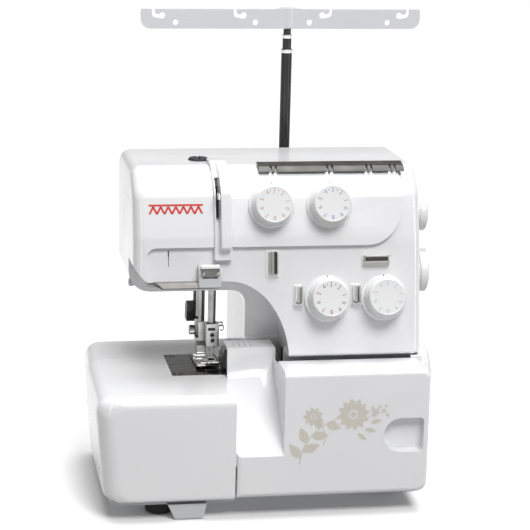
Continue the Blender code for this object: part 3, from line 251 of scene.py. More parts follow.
LOOKS = {
    "gloss_white": moulded_plastic("gloss_white_look", colour(0.79, 0.79, 0.80), colour(0.765, 0.765, 0.78),
                                   0.2, 0.55),
    "dial_white": moulded_plastic("dial_white_look", colour(0.77, 0.77, 0.77), colour(0.745, 0.745, 0.75),
                                  0.33, 0.2, 0.2),
    "light_grey": moulded_plastic("light_grey_look", colour(0.60, 0.605, 0.62), colour(0.56, 0.565, 0.58),
                                  0.38, 0.1, 0.3),
    "dark_plastic": moulded_plastic("dark_plastic_look", colour(0.016, 0.016, 0.018),
                                    colour(0.03, 0.03, 0.033), 0.42, 0.05, 0.7, 1500.0),
    "rubber": soft_rubber("rubber_look", colour(0.012, 0.012, 0.012)),
    "casting": painted_casting("casting_look", colour(0.34, 0.35, 0.36)),
    "satin_steel": brushed_metal("satin_steel_look", colour(0.42, 0.41, 0.39), colour(0.22, 0.215, 0.2),
                                 0.32, (0.06, 1.0, 1.0)),
    "bright_steel": brushed_metal("bright_steel_look", colour(0.78, 0.78, 0.77), colour(0.5, 0.5, 0.49),
                                  0.14, (1.0, 1.0, 0.05), 320.0, 0.15),
    "dark_chrome": polished_tube("dark_chrome_look", colour(0.05, 0.049, 0.047),
                                 colour(0.026, 0.025, 0.024), 0.14),
    "lamp_clear": frosted_lens("lamp_clear_look"),
}
CASING = (LOOKS["gloss_white"], "machine", "gloss_white")  # look, body and slot of the fixed white parts
SHEET_GREY = moulded_plastic("guide_bar_look", colour(0.66, 0.665, 0.675), colour(0.62, 0.625, 0.64),
                             0.34, 0.15, 0.2)
GUARD_GREY = moulded_plastic("guard_look", colour(0.66, 0.66, 0.65), colour(0.62, 0.62, 0.61),
                             0.36, 0.1, 0.25)
PLATE_STEEL = brushed_metal("needle_plate_look", colour(0.23, 0.225, 0.215), colour(0.13, 0.128, 0.12),
                            0.24, (0.05, 1.0, 1.0), 300.0, 0.25)
GUIDE_STEEL = brushed_metal("thread_guide_look", colour(0.6, 0.595, 0.58), colour(0.34, 0.335, 0.32), 0.3,
                            (1.0, 1.0, 0.05), 70.0, 0.03)
HOOK_STEEL = brushed_metal("thread_hook_look", colour(0.86, 0.86, 0.85), colour(0.62, 0.62, 0.61), 0.4,
                           (1.0, 1.0, 0.12), 180.0, 0.2)
RAIL_STEEL = brushed_metal("rail_look", colour(0.13, 0.128, 0.12), colour(0.045, 0.044, 0.042), 0.42,
                           (0.04, 1.0, 1.0), 260.0, 0.4)
CLAMP_STEEL = brushed_metal("clamp_look", colour(0.66, 0.66, 0.65), colour(0.46, 0.46, 0.45), 0.34,
                            (1.0, 1.0, 0.4), 160.0, 0.2)
HOLDER_STEEL = brushed_metal("foot_holder_look", colour(0.58, 0.58, 0.57), colour(0.4, 0.4, 0.39), 0.3,
                             (1.0, 1.0, 0.4), 160.0, 0.2)
# Needle and presser bars: the dark streaks along them are painted reflections.
BAR_CHROME = brushed_metal("bar_chrome_painted_streaks_look", colour(0.36, 0.355, 0.34), colour(0.06, 0.058, 0.056), 0.13,
                           (1.0, 1.0, 0.02), 420.0, 0.12)
BAND_STEEL = brushed_metal("guide_band_look", colour(0.16, 0.158, 0.15), colour(0.05, 0.05, 0.048), 0.25,
                           (0.1, 1.0, 1.0), 300.0, 0.3)
# Near-white gloss of the strip on the arm's thread guide: a painted highlight.
GLEAM_PAINTED_HIGHLIGHT = moulded_plastic("guide_strip_painted_highlight_look", colour(0.9, 0.9, 0.9), colour(0.86, 0.86, 0.86), 0.15, 0.6)
# Near-black grey of the plate under the arm: painted shade of the arm's underside.
UNDERARM_PAINTED_SHADE = moulded_plastic("underarm_painted_shade_look", colour(0.11, 0.11, 0.108), colour(0.085, 0.085, 0.084),
                                0.35, 0.1, 0.25)
INK_DARK = printed_ink("ink_dark", colour(0.05, 0.05, 0.055))
INK_GREY = printed_ink("ink_grey", colour(0.3, 0.3, 0.3))
INK_RED = printed_ink("ink_red", colour(0.52, 0.02, 0.012))
INK_SAND = printed_ink("ink_sand", colour(0.57, 0.535, 0.475))
DIAL_INKS = {
    "tension_dial_left_needle": printed_ink("ink_orange", colour(0.47, 0.28, 0.20)),
    "tension_dial_right_needle": printed_ink("ink_blue", colour(0.20, 0.23, 0.38)),
    "tension_dial_upper_looper": printed_ink("ink_maroon", colour(0.27, 0.13, 0.145)),
    "tension_dial_lower_looper": printed_ink("ink_teal", colour(0.32, 0.52, 0.49)),
}


# ---------------------------------------------------------------- mesh helpers

def linked(name, data):
    """New object in the scene."""
    obj = bpy.data.objects.new(name, data)
    bpy.context.scene.collection.objects.link(obj)
    return obj


def mesh_from(builder, name):
    """Mesh with its faces turned outwards, from a builder, which it frees."""
    mesh = bpy.data.meshes.new(name)
    bmesh.ops.recalc_face_normals(builder, faces=builder.faces)
    builder.to_mesh(mesh)
    builder.free()
    return mesh


def object_from(builder, name):
    return linked(name, mesh_from(builder, name))


def dress(obj, material, body, slot, angle=38.0):
    """Material, shading and body of a finished piece; the slot argument is not used."""
    obj.data.materials.clear()
    obj.data.materials.append(material)
    for polygon in obj.data.polygons:
        polygon.use_smooth = True
        polygon.material_index = 0
    obj.data.set_sharp_from_angle(angle=math.radians(angle))
    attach(obj, body)
    return obj


BEVEL_SEGMENTS = 3
BEVEL_FROM = 34.0  # degrees between two faces


def soften(obj, width):
    """Rounded edges with the flat faces kept flat."""
    bevel = obj.modifiers.new("edges", "BEVEL")
    bevel.width = width * MM
    bevel.segments = BEVEL_SEGMENTS
    bevel.limit_method = "ANGLE"
    bevel.angle_limit = math.radians(BEVEL_FROM)
    bevel.harden_normals = False
    bevel.miter_outer = "MITER_ARC"
    flat = obj.modifiers.new("normals", "WEIGHTED_NORMAL")
    flat.keep_sharp = True
    flat.weight = 50


FLAT_WITHIN = 1.2  # degrees between triangles that are merged to one face


def refined(node, width, material=None):
    """Finer copy of a node: triangles merged back to faces, edges rounded unless width is 0."""
    builder = bmesh.new()
    builder.from_mesh(frame["nodes"][node].data)
    bmesh.ops.remove_doubles(builder, verts=builder.verts, dist=0.00002)
    bmesh.ops.dissolve_limit(builder, angle_limit=math.radians(FLAT_WITHIN), verts=builder.verts,
                             edges=builder.edges, delimit={"NORMAL"})
    obj = object_from(builder, node + "_finished")
    dress(obj, material or LOOKS[SLOT_OF[node]], BODY_OF[node], SLOT_OF[node])
    if width:
        soften(obj, width)
    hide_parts(node)


def frame_along(direction, up=(0, 0, 1)):
    """Rotation whose Z is the direction and whose Y is nearest to up."""
    z = Vector(direction).normalized()
    x = Vector(up).cross(z).normalized()
    y = z.cross(x)
    return Matrix((x, y, z)).transposed()


def add_lathe(builder, base, spin, profile, steps=96, ripple=None, ring=False):
    """Adds a body of revolution: (radius, height) pairs in millimetres along the Z of spin.

    ripple changes the radius with the angle. A ring joins its last pair to its first and has no caps.
    """
    rows = []
    for radius, height in profile:
        if radius <= 0:
            rows.append([builder.verts.new(base + spin @ Vector((0, 0, height * MM)))])
            continue
        row = []
        for step in range(steps):
            angle = 2 * math.pi * step / steps
            reach = radius + (ripple(angle, radius, height) if ripple else 0.0)
            row.append(builder.verts.new(base + spin @ Vector((reach * math.cos(angle) * MM,
                                                               reach * math.sin(angle) * MM, height * MM))))
        rows.append(row)
    for low, high in zip(rows, rows[1:] + rows[:1] if ring else rows[1:]):
        for i in range(max(len(low), len(high))):
            corners = [low[i % len(low)], low[(i + 1) % len(low)],
                       high[(i + 1) % len(high)], high[i % len(high)]]
            builder.faces.new(list(dict.fromkeys(corners)))
    for row in (rows[0], rows[-1]):
        if len(row) > 2 and not ring:
            builder.faces.new(row)


def lathe(name, base, direction, profile, steps=96, ripple=None, up=(0, 0, 1), ring=False):
    """Body of revolution as an object, its axis from base along direction."""
    builder = bmesh.new()
    add_lathe(builder, base, frame_along(direction, up), profile, steps, ripple, ring)
    return object_from(builder, name)


def rounded_profile(corners, steps=5):
    """(radius, height, rounding) corners to a smooth lathe profile."""
    points = []
    for i, (u, v, radius) in enumerate(corners):
        here = Vector((u, v))
        if radius <= 0 or i in (0, len(corners) - 1):
            points.append((u, v))
            continue
        back = Vector(corners[i - 1][:2]) - here
        ahead = Vector(corners[i + 1][:2]) - here
        half = back.angle(ahead) / 2
        reach = min(radius / math.tan(half), 0.48 * back.length, 0.48 * ahead.length)
        radius = reach * math.tan(half)
        centre = here + (back.normalized() + ahead.normalized()).normalized() * radius / math.sin(half)
        first = here + back.normalized() * reach - centre
        last = here + ahead.normalized() * reach - centre
        start = math.atan2(first.y, first.x)
        turn = (math.atan2(last.y, last.x) - start + math.pi) % (2 * math.pi) - math.pi
        for step in range(steps + 1):
            angle = start + turn * step / steps
            points.append((centre.x + radius * math.cos(angle), centre.y + radius * math.sin(angle)))
    return points


def add_prism(builder, outline, low, high, spot):
    """Adds an outline of (u, v) pairs pushed from low to high; spot gives the point of (u, v, w)."""
    bottom = [builder.verts.new(spot(u, v, low)) for u, v in outline]
    top = [builder.verts.new(spot(u, v, high)) for u, v in outline]
    builder.faces.new(bottom)
    builder.faces.new(top)
    for i in range(len(outline)):
        j = (i + 1) % len(outline)
        builder.faces.new((bottom[i], bottom[j], top[j], top[i]))


def front_spot(x, z, y):
    """Spot of an outline drawn in the front view."""
    return at(x, y, z)


def side_spot(y, z, x):
    """Spot of an outline drawn in the side view."""
    return at(x, y, z)


def plate(name, outline, low, high, spot):
    """Prism as an object, as add_prism makes it."""
    builder = bmesh.new()
    add_prism(builder, outline, low, high, spot)
    return object_from(builder, name)


def round_corners(corners, steps=6):
    """Closed outline from (u, v, radius) corners."""
    ring = [corners[-1]] + list(corners) + [corners[0]]
    points = []
    for before, here, after in zip(ring, ring[1:], ring[2:]):
        points += rounded_profile((before[:2] + (0,), here, after[:2] + (0,)), steps)[1:-1]
    return points


def oblong(u, v, width, height, radius):
    """Outline of a rectangle with round corners about (u, v)."""
    w, h = width / 2, height / 2
    return round_corners(((u - w, v - h, radius), (u + w, v - h, radius), (u + w, v + h, radius),
                          (u - w, v + h, radius)))


PRINT_THICKNESS = 0.06


def text_mesh(text, size):
    """Mesh of a short text, centred, in metres, in the XY plane."""
    curve = bpy.data.curves.new("text", "FONT")
    curve.body = text
    curve.size = size * MM
    curve.align_x = "CENTER"
    curve.align_y = "CENTER"
    curve.extrude = PRINT_THICKNESS / 2 * MM
    curve.resolution_u = 6
    holder = linked("text", curve)
    bpy.context.view_layer.update()
    mesh = bpy.data.meshes.new_from_object(holder.evaluated_get(bpy.context.evaluated_depsgraph_get()))
    bpy.data.objects.remove(holder)
    return mesh


def add_mesh(builder, mesh, matrix):
    """Adds a moved copy of a mesh."""
    copy = mesh.copy()
    copy.transform(matrix)
    builder.from_mesh(copy)
    bpy.data.meshes.remove(copy)


def print_on(name, marks, ink, body, slot):
    """One piece of print from (mesh, matrix) pairs."""
    builder = bmesh.new()
    for mesh, matrix in marks:
        add_mesh(builder, mesh, matrix)
    dress(object_from(builder, name), ink, body, slot)


def patch_mesh(outline, thickness=PRINT_THICKNESS):
    """Thin printed patch of (x, y) millimetre points in the XY plane."""
    builder = bmesh.new()
    add_prism(builder, outline, -thickness / 2, thickness / 2, lambda u, v, w: Vector((u, v, w)) * MM)
    return mesh_from(builder, "patch")


# ---------------------------------------------------------------- head geometry

HEAD = drawing_box("head_front_cover")
FACE_FOOT, FACE_KNEE = 132, 232  # heights where the front starts, and where it begins to lean further back
PANEL_FOOT = 236
FACE_LEAN = 9.0  # degrees, below the knee


def face_y(z):
    """Front surface of the head at height z, the raised panel left out."""
    if z < FACE_KNEE:
        return 38 + (z - FACE_FOOT) * 15.8 / 100
    return 53.8 + (z - FACE_KNEE) * 13.0 / 42


def panel_y(z):
    """Surface of the raised panel at height z, above its turned-in lower edge."""
    return 49.8 + (z - PANEL_FOOT) * 0.29


# ---------------------------------------------------------------- dials

# Numerals of a tension dial, each with its degrees clockwise from the top.
NUMERALS = (("3", 0), ("2", 38), ("1", 77), ("0", 110), ("9", 142), ("8", 180), ("7", 215), ("6", 254),
            ("5", 292), ("4", 329))
FACE_HEIGHT = 17.6
DIAL_SHARP = 50  # degrees from which an edge of a dial is drawn sharp


def joint_axis(name):
    """Foot and direction of a joint's axis, and the matrix that stands an XY drawing across it."""
    base = Vector(JOINTS[name]["pos_m"])
    axis = Vector(JOINTS[name]["axis"]).normalized()
    return base, axis, Matrix.Translation(base) @ frame_along(axis).to_4x4()


def tension_dial(node, joint_name):
    """Dial with a stepped skirt and a shallow face, its numerals, and the setting mark beside it."""
    base, axis, seat = joint_axis(joint_name)
    profile = rounded_profile(((0, 5.3, 0), (17.4, 5.3, 0.3), (17.9, 6.3, 0.4), (17.2, 8.0, 0.6),
                               (16.5, 8.6, 0.5), (16.2, 17.2, 1.2), (14.9, 17.9, 0.3),
                               (14.5, FACE_HEIGHT, 0.2), (0, FACE_HEIGHT, 0)))
    dial = lathe(node + "_finished", base, axis, profile, 112)
    dress(dial, LOOKS["dial_white"], BODY_OF[node], SLOT_OF[node], DIAL_SHARP)
    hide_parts(node)
    marks = []
    for text, degrees in NUMERALS:
        turn = Matrix.Rotation(math.radians(-degrees), 4, "Z")
        local = turn @ Matrix.Translation(Vector((0, 11.6, FACE_HEIGHT + 0.03)) * MM)
        marks.append((text_mesh(text, 5.3), seat @ local))
    dot = patch_mesh([(0.55 * math.cos(k * math.pi / 8), 0.55 * math.sin(k * math.pi / 8))
                      for k in range(16)])
    for degrees in (-16, 19):
        turn = Matrix.Rotation(math.radians(-degrees), 4, "Z")
        local = turn @ Matrix.Translation(Vector((0, 12.1, FACE_HEIGHT + 0.02)) * MM)
        marks.append((dot, seat @ local))
    print_on(node + "_numerals", marks, DIAL_INKS[node], BODY_OF[node], SLOT_OF[node])
    arrow = patch_mesh([(-0.45, -0.7), (0.45, -0.7), (0.45, 0.9), (-0.45, 0.9)], 0.16)
    local = Matrix.Translation(Vector((0, 19.0, 4.44)) * MM) @ Matrix.Rotation(math.radians(-20), 4, "X")
    print_on(node + "_setting_mark", [(arrow, seat @ local)], INK_DARK, "machine", "gloss_white")


def side_dial(node, joint_name, profile, labels, size):
    """Dial on the right side with a fluted rim and numerals round it. A label "." is a dot."""
    base, axis, seat = joint_axis(joint_name)
    flutes = 60

    def flute(angle, radius, height):
        """Shallow grooves in the rim, none on the skirt and the face."""
        if radius < profile[2][0] - 0.6 or height < profile[1][1]:
            return 0.0
        return -0.16 * (0.5 + 0.5 * math.cos(angle * flutes)) ** 2
    dial = lathe(node + "_finished", base, axis, rounded_profile(profile), 240, flute)
    dress(dial, LOOKS["dial_white"], BODY_OF[node], SLOT_OF[node], DIAL_SHARP)
    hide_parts(node)
    marks = []
    rim = profile[1][0] + 0.03
    middle = (profile[0][1] + profile[1][1]) / 2
    for text, degrees in labels:
        turn = Matrix.Rotation(math.radians(degrees), 4, "Z")
        local = turn @ Matrix.Translation(Vector((rim, 0, middle)) * MM)
        local = local @ Matrix.Rotation(math.pi / 2, 4, "Y") @ Matrix.Rotation(math.pi, 4, "Z")
        mesh = text_mesh(text, size) if text != "." else patch_mesh(oblong(0, 0, 1.6, 1.6, 0.7))
        marks.append((mesh, seat @ local))
    print_on(node + "_numerals", marks, INK_DARK, BODY_OF[node], SLOT_OF[node])


def make_dials():
    """The four tension dials, the stitch length dial, and the differential feed dial with its tab."""
    for node in DIAL_INKS:
        tension_dial(node, node.replace("_dial", "") + "_turn")
    stitch = ((15.2, 0, 0), (15.2, 5.6, 0.3), (16.5, 6.6, 0.6), (16.5, 12.6, 1.4), (13.2, 14.2, 1.0),
              (12.6, 13.6, 0.3), (0, 13.6, 0))
    side_dial("stitch_length_dial", "stitch_length_turn", stitch,
              [(str(k + 1), 170 + 34 * k) for k in range(4)] + [("5", 306), ("R", 340)], 4.2)
    differential = ((16.6, 0, 0), (16.6, 8.2, 0.3), (18.5, 9.2, 0.6), (18.5, 15.6, 1.4), (14.0, 17.4, 1.0),
                    (13.4, 16.8, 0.3), (0, 16.8, 0))
    side_dial("differential_dial", "differential_turn", differential,
              [("0", 186), (".", 163), ("1", 214), ("2", 246), (".", 276), ("3", 306)], 5.2)
    low, high = drawing_box("differential_dial")
    outline = round_corners(((98.3, 206, 0.6), (101.7, 206, 0.6), (101.5, high.z, 1.2),
                             (98.5, high.z, 1.2)))
    tab = plate("differential_dial_tab", outline, low.x + 9.6, high.x - 0.8, side_spot)
    dress(tab, LOOKS["dial_white"], BODY_OF["differential_dial"], SLOT_OF["differential_dial"])
    soften(tab, 0.5)


def make_handwheel():
    """Handwheel with finger grips round its rim and an arrow on its face."""
    base, axis, seat = joint_axis("handwheel_turn")
    profile = rounded_profile(((5.5, 0.6, 0), (8.6, 0.6, 0.2), (8.6, 2.0, 0.2), (26.4, 3.0, 1.0),
                               (29.0, 6.0, 1.4), (29.0, 16.5, 1.6), (27.6, 21.0, 1.5), (24.0, 24.0, 1.5),
                               (18.0, 24.4, 2.0), (9.0, 22.4, 2.0), (0, 22.2, 0)))

    def grips(angle, radius, height):
        """Thirty shallow hollows in the rim."""
        if radius < 27.8 or not 5.0 < height < 18.5:
            return 0.0
        return -0.5 * max(0.0, math.cos(angle * 30)) ** 3
    wheel = lathe("handwheel_finished", base, axis, profile, 240, grips)
    dress(wheel, LOOKS["dial_white"], "handwheel", "dial_white", DIAL_SHARP)
    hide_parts("handwheel")
    arrow = [(-9, -1.0), (4, -1.0), (4, -3.0), (9, 0), (4, 3.0), (4, 1.0), (-9, 1.0)]
    place = seat @ Matrix.Translation(Vector((0, 14.0, 23.6)) * MM)
    print_on("handwheel_arrow", [(patch_mesh(arrow, 0.5), place)], INK_GREY, "handwheel", "dial_white")


# ---------------------------------------------------------------- print on the shells

def leaf(x, y, length, width, degrees, steps=12):
    """Pointed leaf outline from its foot at (x, y)."""
    turn = Matrix.Rotation(math.radians(degrees), 2)
    points = []
    for side in (1, -1):
        for step in range(steps + 1):
            share = step / steps if side > 0 else 1 - step / steps
            bulge = width / 2 * math.sin(math.pi * share ** 0.8) * side
            point = turn @ Vector((length * share, bulge))
            points.append((x + point.x, y + point.y))
    clean = []
    for point in points:
        if not clean or math.dist(point, clean[-1]) > 0.01:
            clean.append(point)
    if math.dist(clean[0], clean[-1]) < 0.01:
        clean.pop()
    return clean


def ribbon(points, start, end):
    """Tapering stroke along points, from the start width to the end width."""
    left, right = [], []
    for i, point in enumerate(points):
        before = Vector(points[max(i - 1, 0)])
        after = Vector(points[min(i + 1, len(points) - 1)])
        normal = (after - before).normalized().orthogonal()
        half = (start + (end - start) * i / (len(points) - 1)) / 2
        left.append(tuple(Vector(point) + normal * half))
        right.append(tuple(Vector(point) - normal * half))
    return left + right[::-1]


def arc_points(cx, cy, radius, start, end, steps):
    """Points of an arc from the start angle to the end angle, in degrees."""
    span = end - start
    return [(cx + radius * math.cos(math.radians(start + span * k / steps)),
             cy + radius * math.sin(math.radians(start + span * k / steps))) for k in range(steps + 1)]


def disc(x, y, radius, steps=20):
    """Outline of a circle."""
    return [(x + radius * math.cos(2 * math.pi * k / steps), y + radius * math.sin(2 * math.pi * k / steps))
            for k in range(steps)]


def daisy(x, y, radius, petals, start=0.0):
    """Round open flower: overlapping petals and a small centre."""
    outlines = []
    for petal in range(petals):
        degrees = start + 360 * petal / petals
        turn = math.radians(degrees)
        outlines.append(leaf(x + radius * 0.24 * math.cos(turn), y + radius * 0.24 * math.sin(turn),
                             radius * 0.76, radius * 0.44, degrees))
    outlines.append(disc(x, y, radius * 0.19))
    return outlines


# Arc of the sprig's stem: its centre, radius and angles in degrees.
STEM_X, STEM_Y, STEM_RADIUS, STEM_START, STEM_END = 62, -4, 58, 176, 100


def sprig_outlines():
    """Plain garden sprig: one bowed stem, broad leaves in pairs, two round daisies and a few berries."""
    stem = arc_points(STEM_X, STEM_Y, STEM_RADIUS, STEM_START, STEM_END, 30)
    outlines = [ribbon(stem, 1.9, 1.1)]
    for share, side in ((0.10, 1), (0.20, -1), (0.33, 1), (0.46, -1), (0.60, 1), (0.74, -1)):
        degrees = STEM_START - (STEM_START - STEM_END) * share
        x = STEM_X + STEM_RADIUS * math.cos(math.radians(degrees))
        y = STEM_Y + STEM_RADIUS * math.sin(math.radians(degrees))
        outlines.append(leaf(x, y, 22 - 6 * share, 10.5, degrees - 90 + 50 * side))
    outlines += daisy(63, 56, 19.0, 12, 8)
    outlines += daisy(18, 55, 11.5, 9, 20)
    outlines.append(ribbon(arc_points(4, 30, 28, -18, 44, 14), 1.1, 0.7))
    outlines.append(ribbon(arc_points(98, 28, 30, 152, 92, 14), 1.3, 0.8))
    for x, y, radius in ((97, 59.5, 2.4), (101.5, 54.5, 1.9), (92.5, 64, 1.7), (100, 65, 1.5)):
        outlines.append(disc(x, y, radius))
    for x, y, degrees in ((86, 52, 66), (83, 46, 14), (77, 39, -14), (69, 34, -40), (88, 54, 110)):
        outlines.append(leaf(x, y, 13.0, 5.0, degrees))
    return outlines


def facing_front(x, z, y):
    """Places an XY drawing upright in the plane at y, its origin at (x, z), facing the operator."""
    return Matrix.Translation(at(x, y, z)) @ Matrix.Rotation(math.pi / 2, 4, "X")


SPRIG_SCALE = 0.78
SPRIG_STEP = 0.004  # each outline stands this much further out than the one under it


def make_decoration():
    """Sprig printed on the front of the looper cover."""
    marks = []
    for step, outline in enumerate(sprig_outlines()):
        place = facing_front(170.5, 48, -0.03 - SPRIG_STEP * step) @ Matrix.Scale(SPRIG_SCALE, 4)
        marks.append((patch_mesh(outline), place))
    print_on("sprig_print", marks, INK_SAND, "looper_cover", "gloss_white")


def on_slope(surface, x, z):
    """Places an XY drawing just in front of a sloping surface of the head, given as y of z, at (x, z)."""
    lean = math.atan2(surface(z + 4) - surface(z - 4), 8)
    return Matrix.Translation(at(x, surface(z) - 0.05, z)) @ Matrix.Rotation(math.pi / 2 - lean, 4, "X")


def make_stitch_motif():
    """Row of overlock stitches as a plain emblem on the head, and a needle sign below it."""
    strokes = []
    for k in range(7):
        x = -19.5 + 6.5 * k
        strokes.append(ribbon([(x - 3.2, -3.2), (x, 3.0)], 1.7, 1.7))
        strokes.append(ribbon([(x, 3.0), (x + 3.2, -3.2)], 1.7, 1.7))
    strokes.append([(-23.4, 3.4), (23.4, 3.4), (23.4, 5.0), (-23.4, 5.0)])
    place = on_slope(panel_y, 71.5, 260.5)
    print_on("stitch_emblem", [(patch_mesh(stroke, 0.3), place) for stroke in strokes], INK_RED, "machine",
             "gloss_white")
    needle = [(-0.55, 7.0), (0.55, 7.0), (0.55, 2.5), (0.3, 1.5), (0.22, -6.0), (0, -7.4), (-0.22, -6.0),
              (-0.3, 1.5), (-0.55, 2.5)]
    print_on("needle_sign", [(patch_mesh(needle, 0.3), on_slope(face_y, 65.0, 219.0))], INK_DARK, "machine",
             "gloss_white")


def make_seam_marks():
    """Seam allowance ticks and figures on the shelf beside the presser foot."""
    shelf = drawing_box("looper_cover")[1]
    flat = Matrix.Translation(at(0, 0, shelf.z + 0.02))
    marks = []
    for k, x in enumerate((126.0, 131.0, 136.0, 141.0)):
        tick = patch_mesh([(x - 0.3, 66), (x + 0.3, 66), (x + 0.3, 71), (x - 0.3, 71)])
        marks.append((tick, flat))
        figure = Matrix.Translation(Vector((x, 75, 0)) * MM)
        marks.append((text_mesh(str(k + 1), 4.2), flat @ figure))
    print_on("seam_marks", marks, INK_DARK, "looper_cover", "gloss_white")


# ---------------------------------------------------------------- small metal and plastic pieces

def make_screw(name, point, direction, radius, body, slot, material):
    """Pan-head screw with a cross recess."""
    spin = frame_along(direction, (0, 1, 0) if abs(Vector(direction).normalized().z) > 0.9 else (0, 0, 1))
    profile = rounded_profile(((0, -0.8, 0), (radius, -0.8, 0), (radius, 0.7, 0.6),
                               (radius * 0.4, 1.25, 0.5), (0, 1.3, 0)))
    builder = bmesh.new()
    add_lathe(builder, point, spin, profile, 40)
    head = object_from(builder, name)
    cutter = bmesh.new()
    for half_u, half_v in ((radius * 0.62, radius * 0.14), (radius * 0.14, radius * 0.62)):
        outline = [(-half_u, -half_v), (half_u, -half_v), (half_u, half_v), (-half_u, half_v)]
        add_prism(cutter, outline, 0.5, 3.0, lambda u, v, w: point + spin @ (Vector((u, v, w)) * MM))
    tool = object_from(cutter, name + "_tool")
    cut = head.modifiers.new("recess", "BOOLEAN")
    cut.operation = "DIFFERENCE"
    cut.use_self = True
    cut.object = tool
    graph = bpy.context.evaluated_depsgraph_get()
    mesh = bpy.data.meshes.new_from_object(head.evaluated_get(graph))
    head.modifiers.clear()
    head.data = mesh
    bpy.data.objects.remove(tool)
    dress(head, material, body, slot)


def make_rear_details():
    """Cover screws in their seats, and cooling slots in their panel as dark patches of painted shade, all on the
    back.
    """
    rear = drawing_box("head_rear_cover")[1].y
    steel = LOOKS["satin_steel"]
    for name, x, z in (("rear_screw_top_left", 62, 268), ("rear_screw_top_right", 266, 268),
                       ("rear_screw_low_left", 160, 36), ("rear_screw_low_right", 266, 36)):
        profile = rounded_profile(((3.6, 0, 0), (5.4, 0, 0), (5.2, 0.9, 0.4), (4.2, 0.9, 0.4),
                                   (3.6, 0.2, 0)))
        seat = lathe(name + "_seat", at(x, rear - 0.2, z), (0, 1, 0), profile, 48)
        dress(seat, *CASING)
        make_screw(name, at(x, rear - 0.3, z), (0, 1, 0), 3.2, "machine", "satin_steel", steel)
    # Slots drawn as flat dark patches: painted shade in the openings.
    slots = bmesh.new()
    for row in range(9):
        outline = oblong(228, 70 + 7.0 * row, 46, 2.6, 1.3)
        add_prism(slots, outline, rear - 0.5, rear + 0.12, front_spot)
    dress(object_from(slots, "cooling_slots_painted_shade"), LOOKS["dark_plastic"], "machine", "dark_plastic")
    panel = plate("cooling_panel", oblong(228, 98, 56, 74, 5), rear - 0.4, rear + 0.06, front_spot)
    dress(panel, *CASING)


def make_underarm():
    """Dark plate under the arm, its dark grey painted shade of the arm's underside, with its bright edge, the
    thread cutter on the arm's left end, and a white plate behind the gap between the head and the looper cover."""
    # Dark plate that paints the shade under the arm.
    outline = round_corners(((52, 199.6, 0), (52, 197.0, 1.0), (59, 193.4, 1.0), (108, 193.4, 1.0),
                             (108, 199.6, 0)))
    dark = plate("underarm_shade_plate", outline, 46, 92, front_spot)
    dress(dark, UNDERARM_PAINTED_SHADE, "machine", "gloss_white")
    soften(dark, 0.4)
    outline = round_corners(((54, 199.5, 0), (60, 194.6, 0.5), (90, 194.6, 0.5), (90, 199.5, 0)))
    edge = plate("underarm_edge", outline, 44.4, 45.9, front_spot)
    dress(edge, LOOKS["satin_steel"], "machine", "satin_steel")
    cutter = lathe("thread_cutter", at(HEAD[0].x + 5.6, 100, 187), (-1, 0, 0),
                   rounded_profile(((0, 0, 0), (3.6, 0, 0), (3.6, 4.4, 0.9), (0, 5.0, 0))), 40)
    dress(cutter, LOOKS["light_grey"], "machine", "light_grey")
    outline = [(168, 120), (283, 120), (283, 136.5), (168, 136.5)]
    liner = plate("gap_liner", outline, 55.5, 56.5, front_spot)
    dress(liner, *CASING)


def make_looper_guard():
    """Thin grey plate on the front of the guard below the column."""
    outline = round_corners(((141.2, 111.2, 0), (171.4, 111.2, 0), (170.6, 136.4, 3.0),
                             (141.2, 136.6, 0.5)))
    guard = plate("looper_guard_plate", outline, 86.9, 87.9, front_spot)
    dress(guard, GUARD_GREY, "machine", "gloss_white")
    soften(guard, 0.3)


# Channel between the lips of a sheet guide: middle, width and height in its seat's plane.
GUIDE_CHANNELS = {"thread_guide_upright": (1.5, 0.65, 2.9, 19.0),
                  "thread_guide_level": (0.6, 1.5, 20.0, 3.4)}


def make_guides():
    """White seats under the guides and hooks on the head, and a dark plate in each guide's channel between its
    lips, as painted shade.
    """
    for node, x, z, width, height in (("thread_guide_upright", 155.4, 213.6, 12.6, 24.2),
                                      ("thread_guide_level", 246.6, 214.9, 25.4, 9.6),
                                      ("thread_hook_left", 177.6, 185.7, 9.0, 19.0),
                                      ("thread_hook_right", 228.5, 185.7, 9.0, 19.0)):
        lean = math.radians(FACE_LEAN)
        spin = Matrix.Translation(at(x, face_y(z), z)) @ Matrix.Rotation(math.pi / 2 - lean, 4, "X")
        seat = plate(node + "_seat", oblong(0, 0, width, height, 1.6), -1.0, 0.75,
                     lambda u, v, w: spin @ (Vector((u, v, w)) * MM))
        dress(seat, *CASING)
        soften(seat, 0.45)
        # Dark plate in the channel between the lips: painted shade.
        if node in GUIDE_CHANNELS:
            channel = plate(node + "_channel_painted_shade", oblong(*GUIDE_CHANNELS[node], 0.4), 2.0, 2.5,
                            lambda u, v, w: spin @ (Vector((u, v, w)) * MM))
            dress(channel, RAIL_STEEL, "machine", "satin_steel")


def make_bed_side():
    """Wall that closes the cloth plate beside the chute."""
    outline = round_corners(((2.2, 23, 4), (2.2, 107.2, 7), (64, 107.2, 0), (64, 23, 0)))
    wall = plate("cloth_plate_side_wall", outline, 117.1, 118.3, side_spot)
    dress(wall, LOOKS["gloss_white"], "cloth_plate", "gloss_white")
    soften(wall, 0.3)


WIRE_RADIUS, WIRE_SIDES = 0.55, 10
HOOK_RADIUS = 1.9
WIRE_LEAN = 0.155  # rise of y with z, near the lean of the head's front


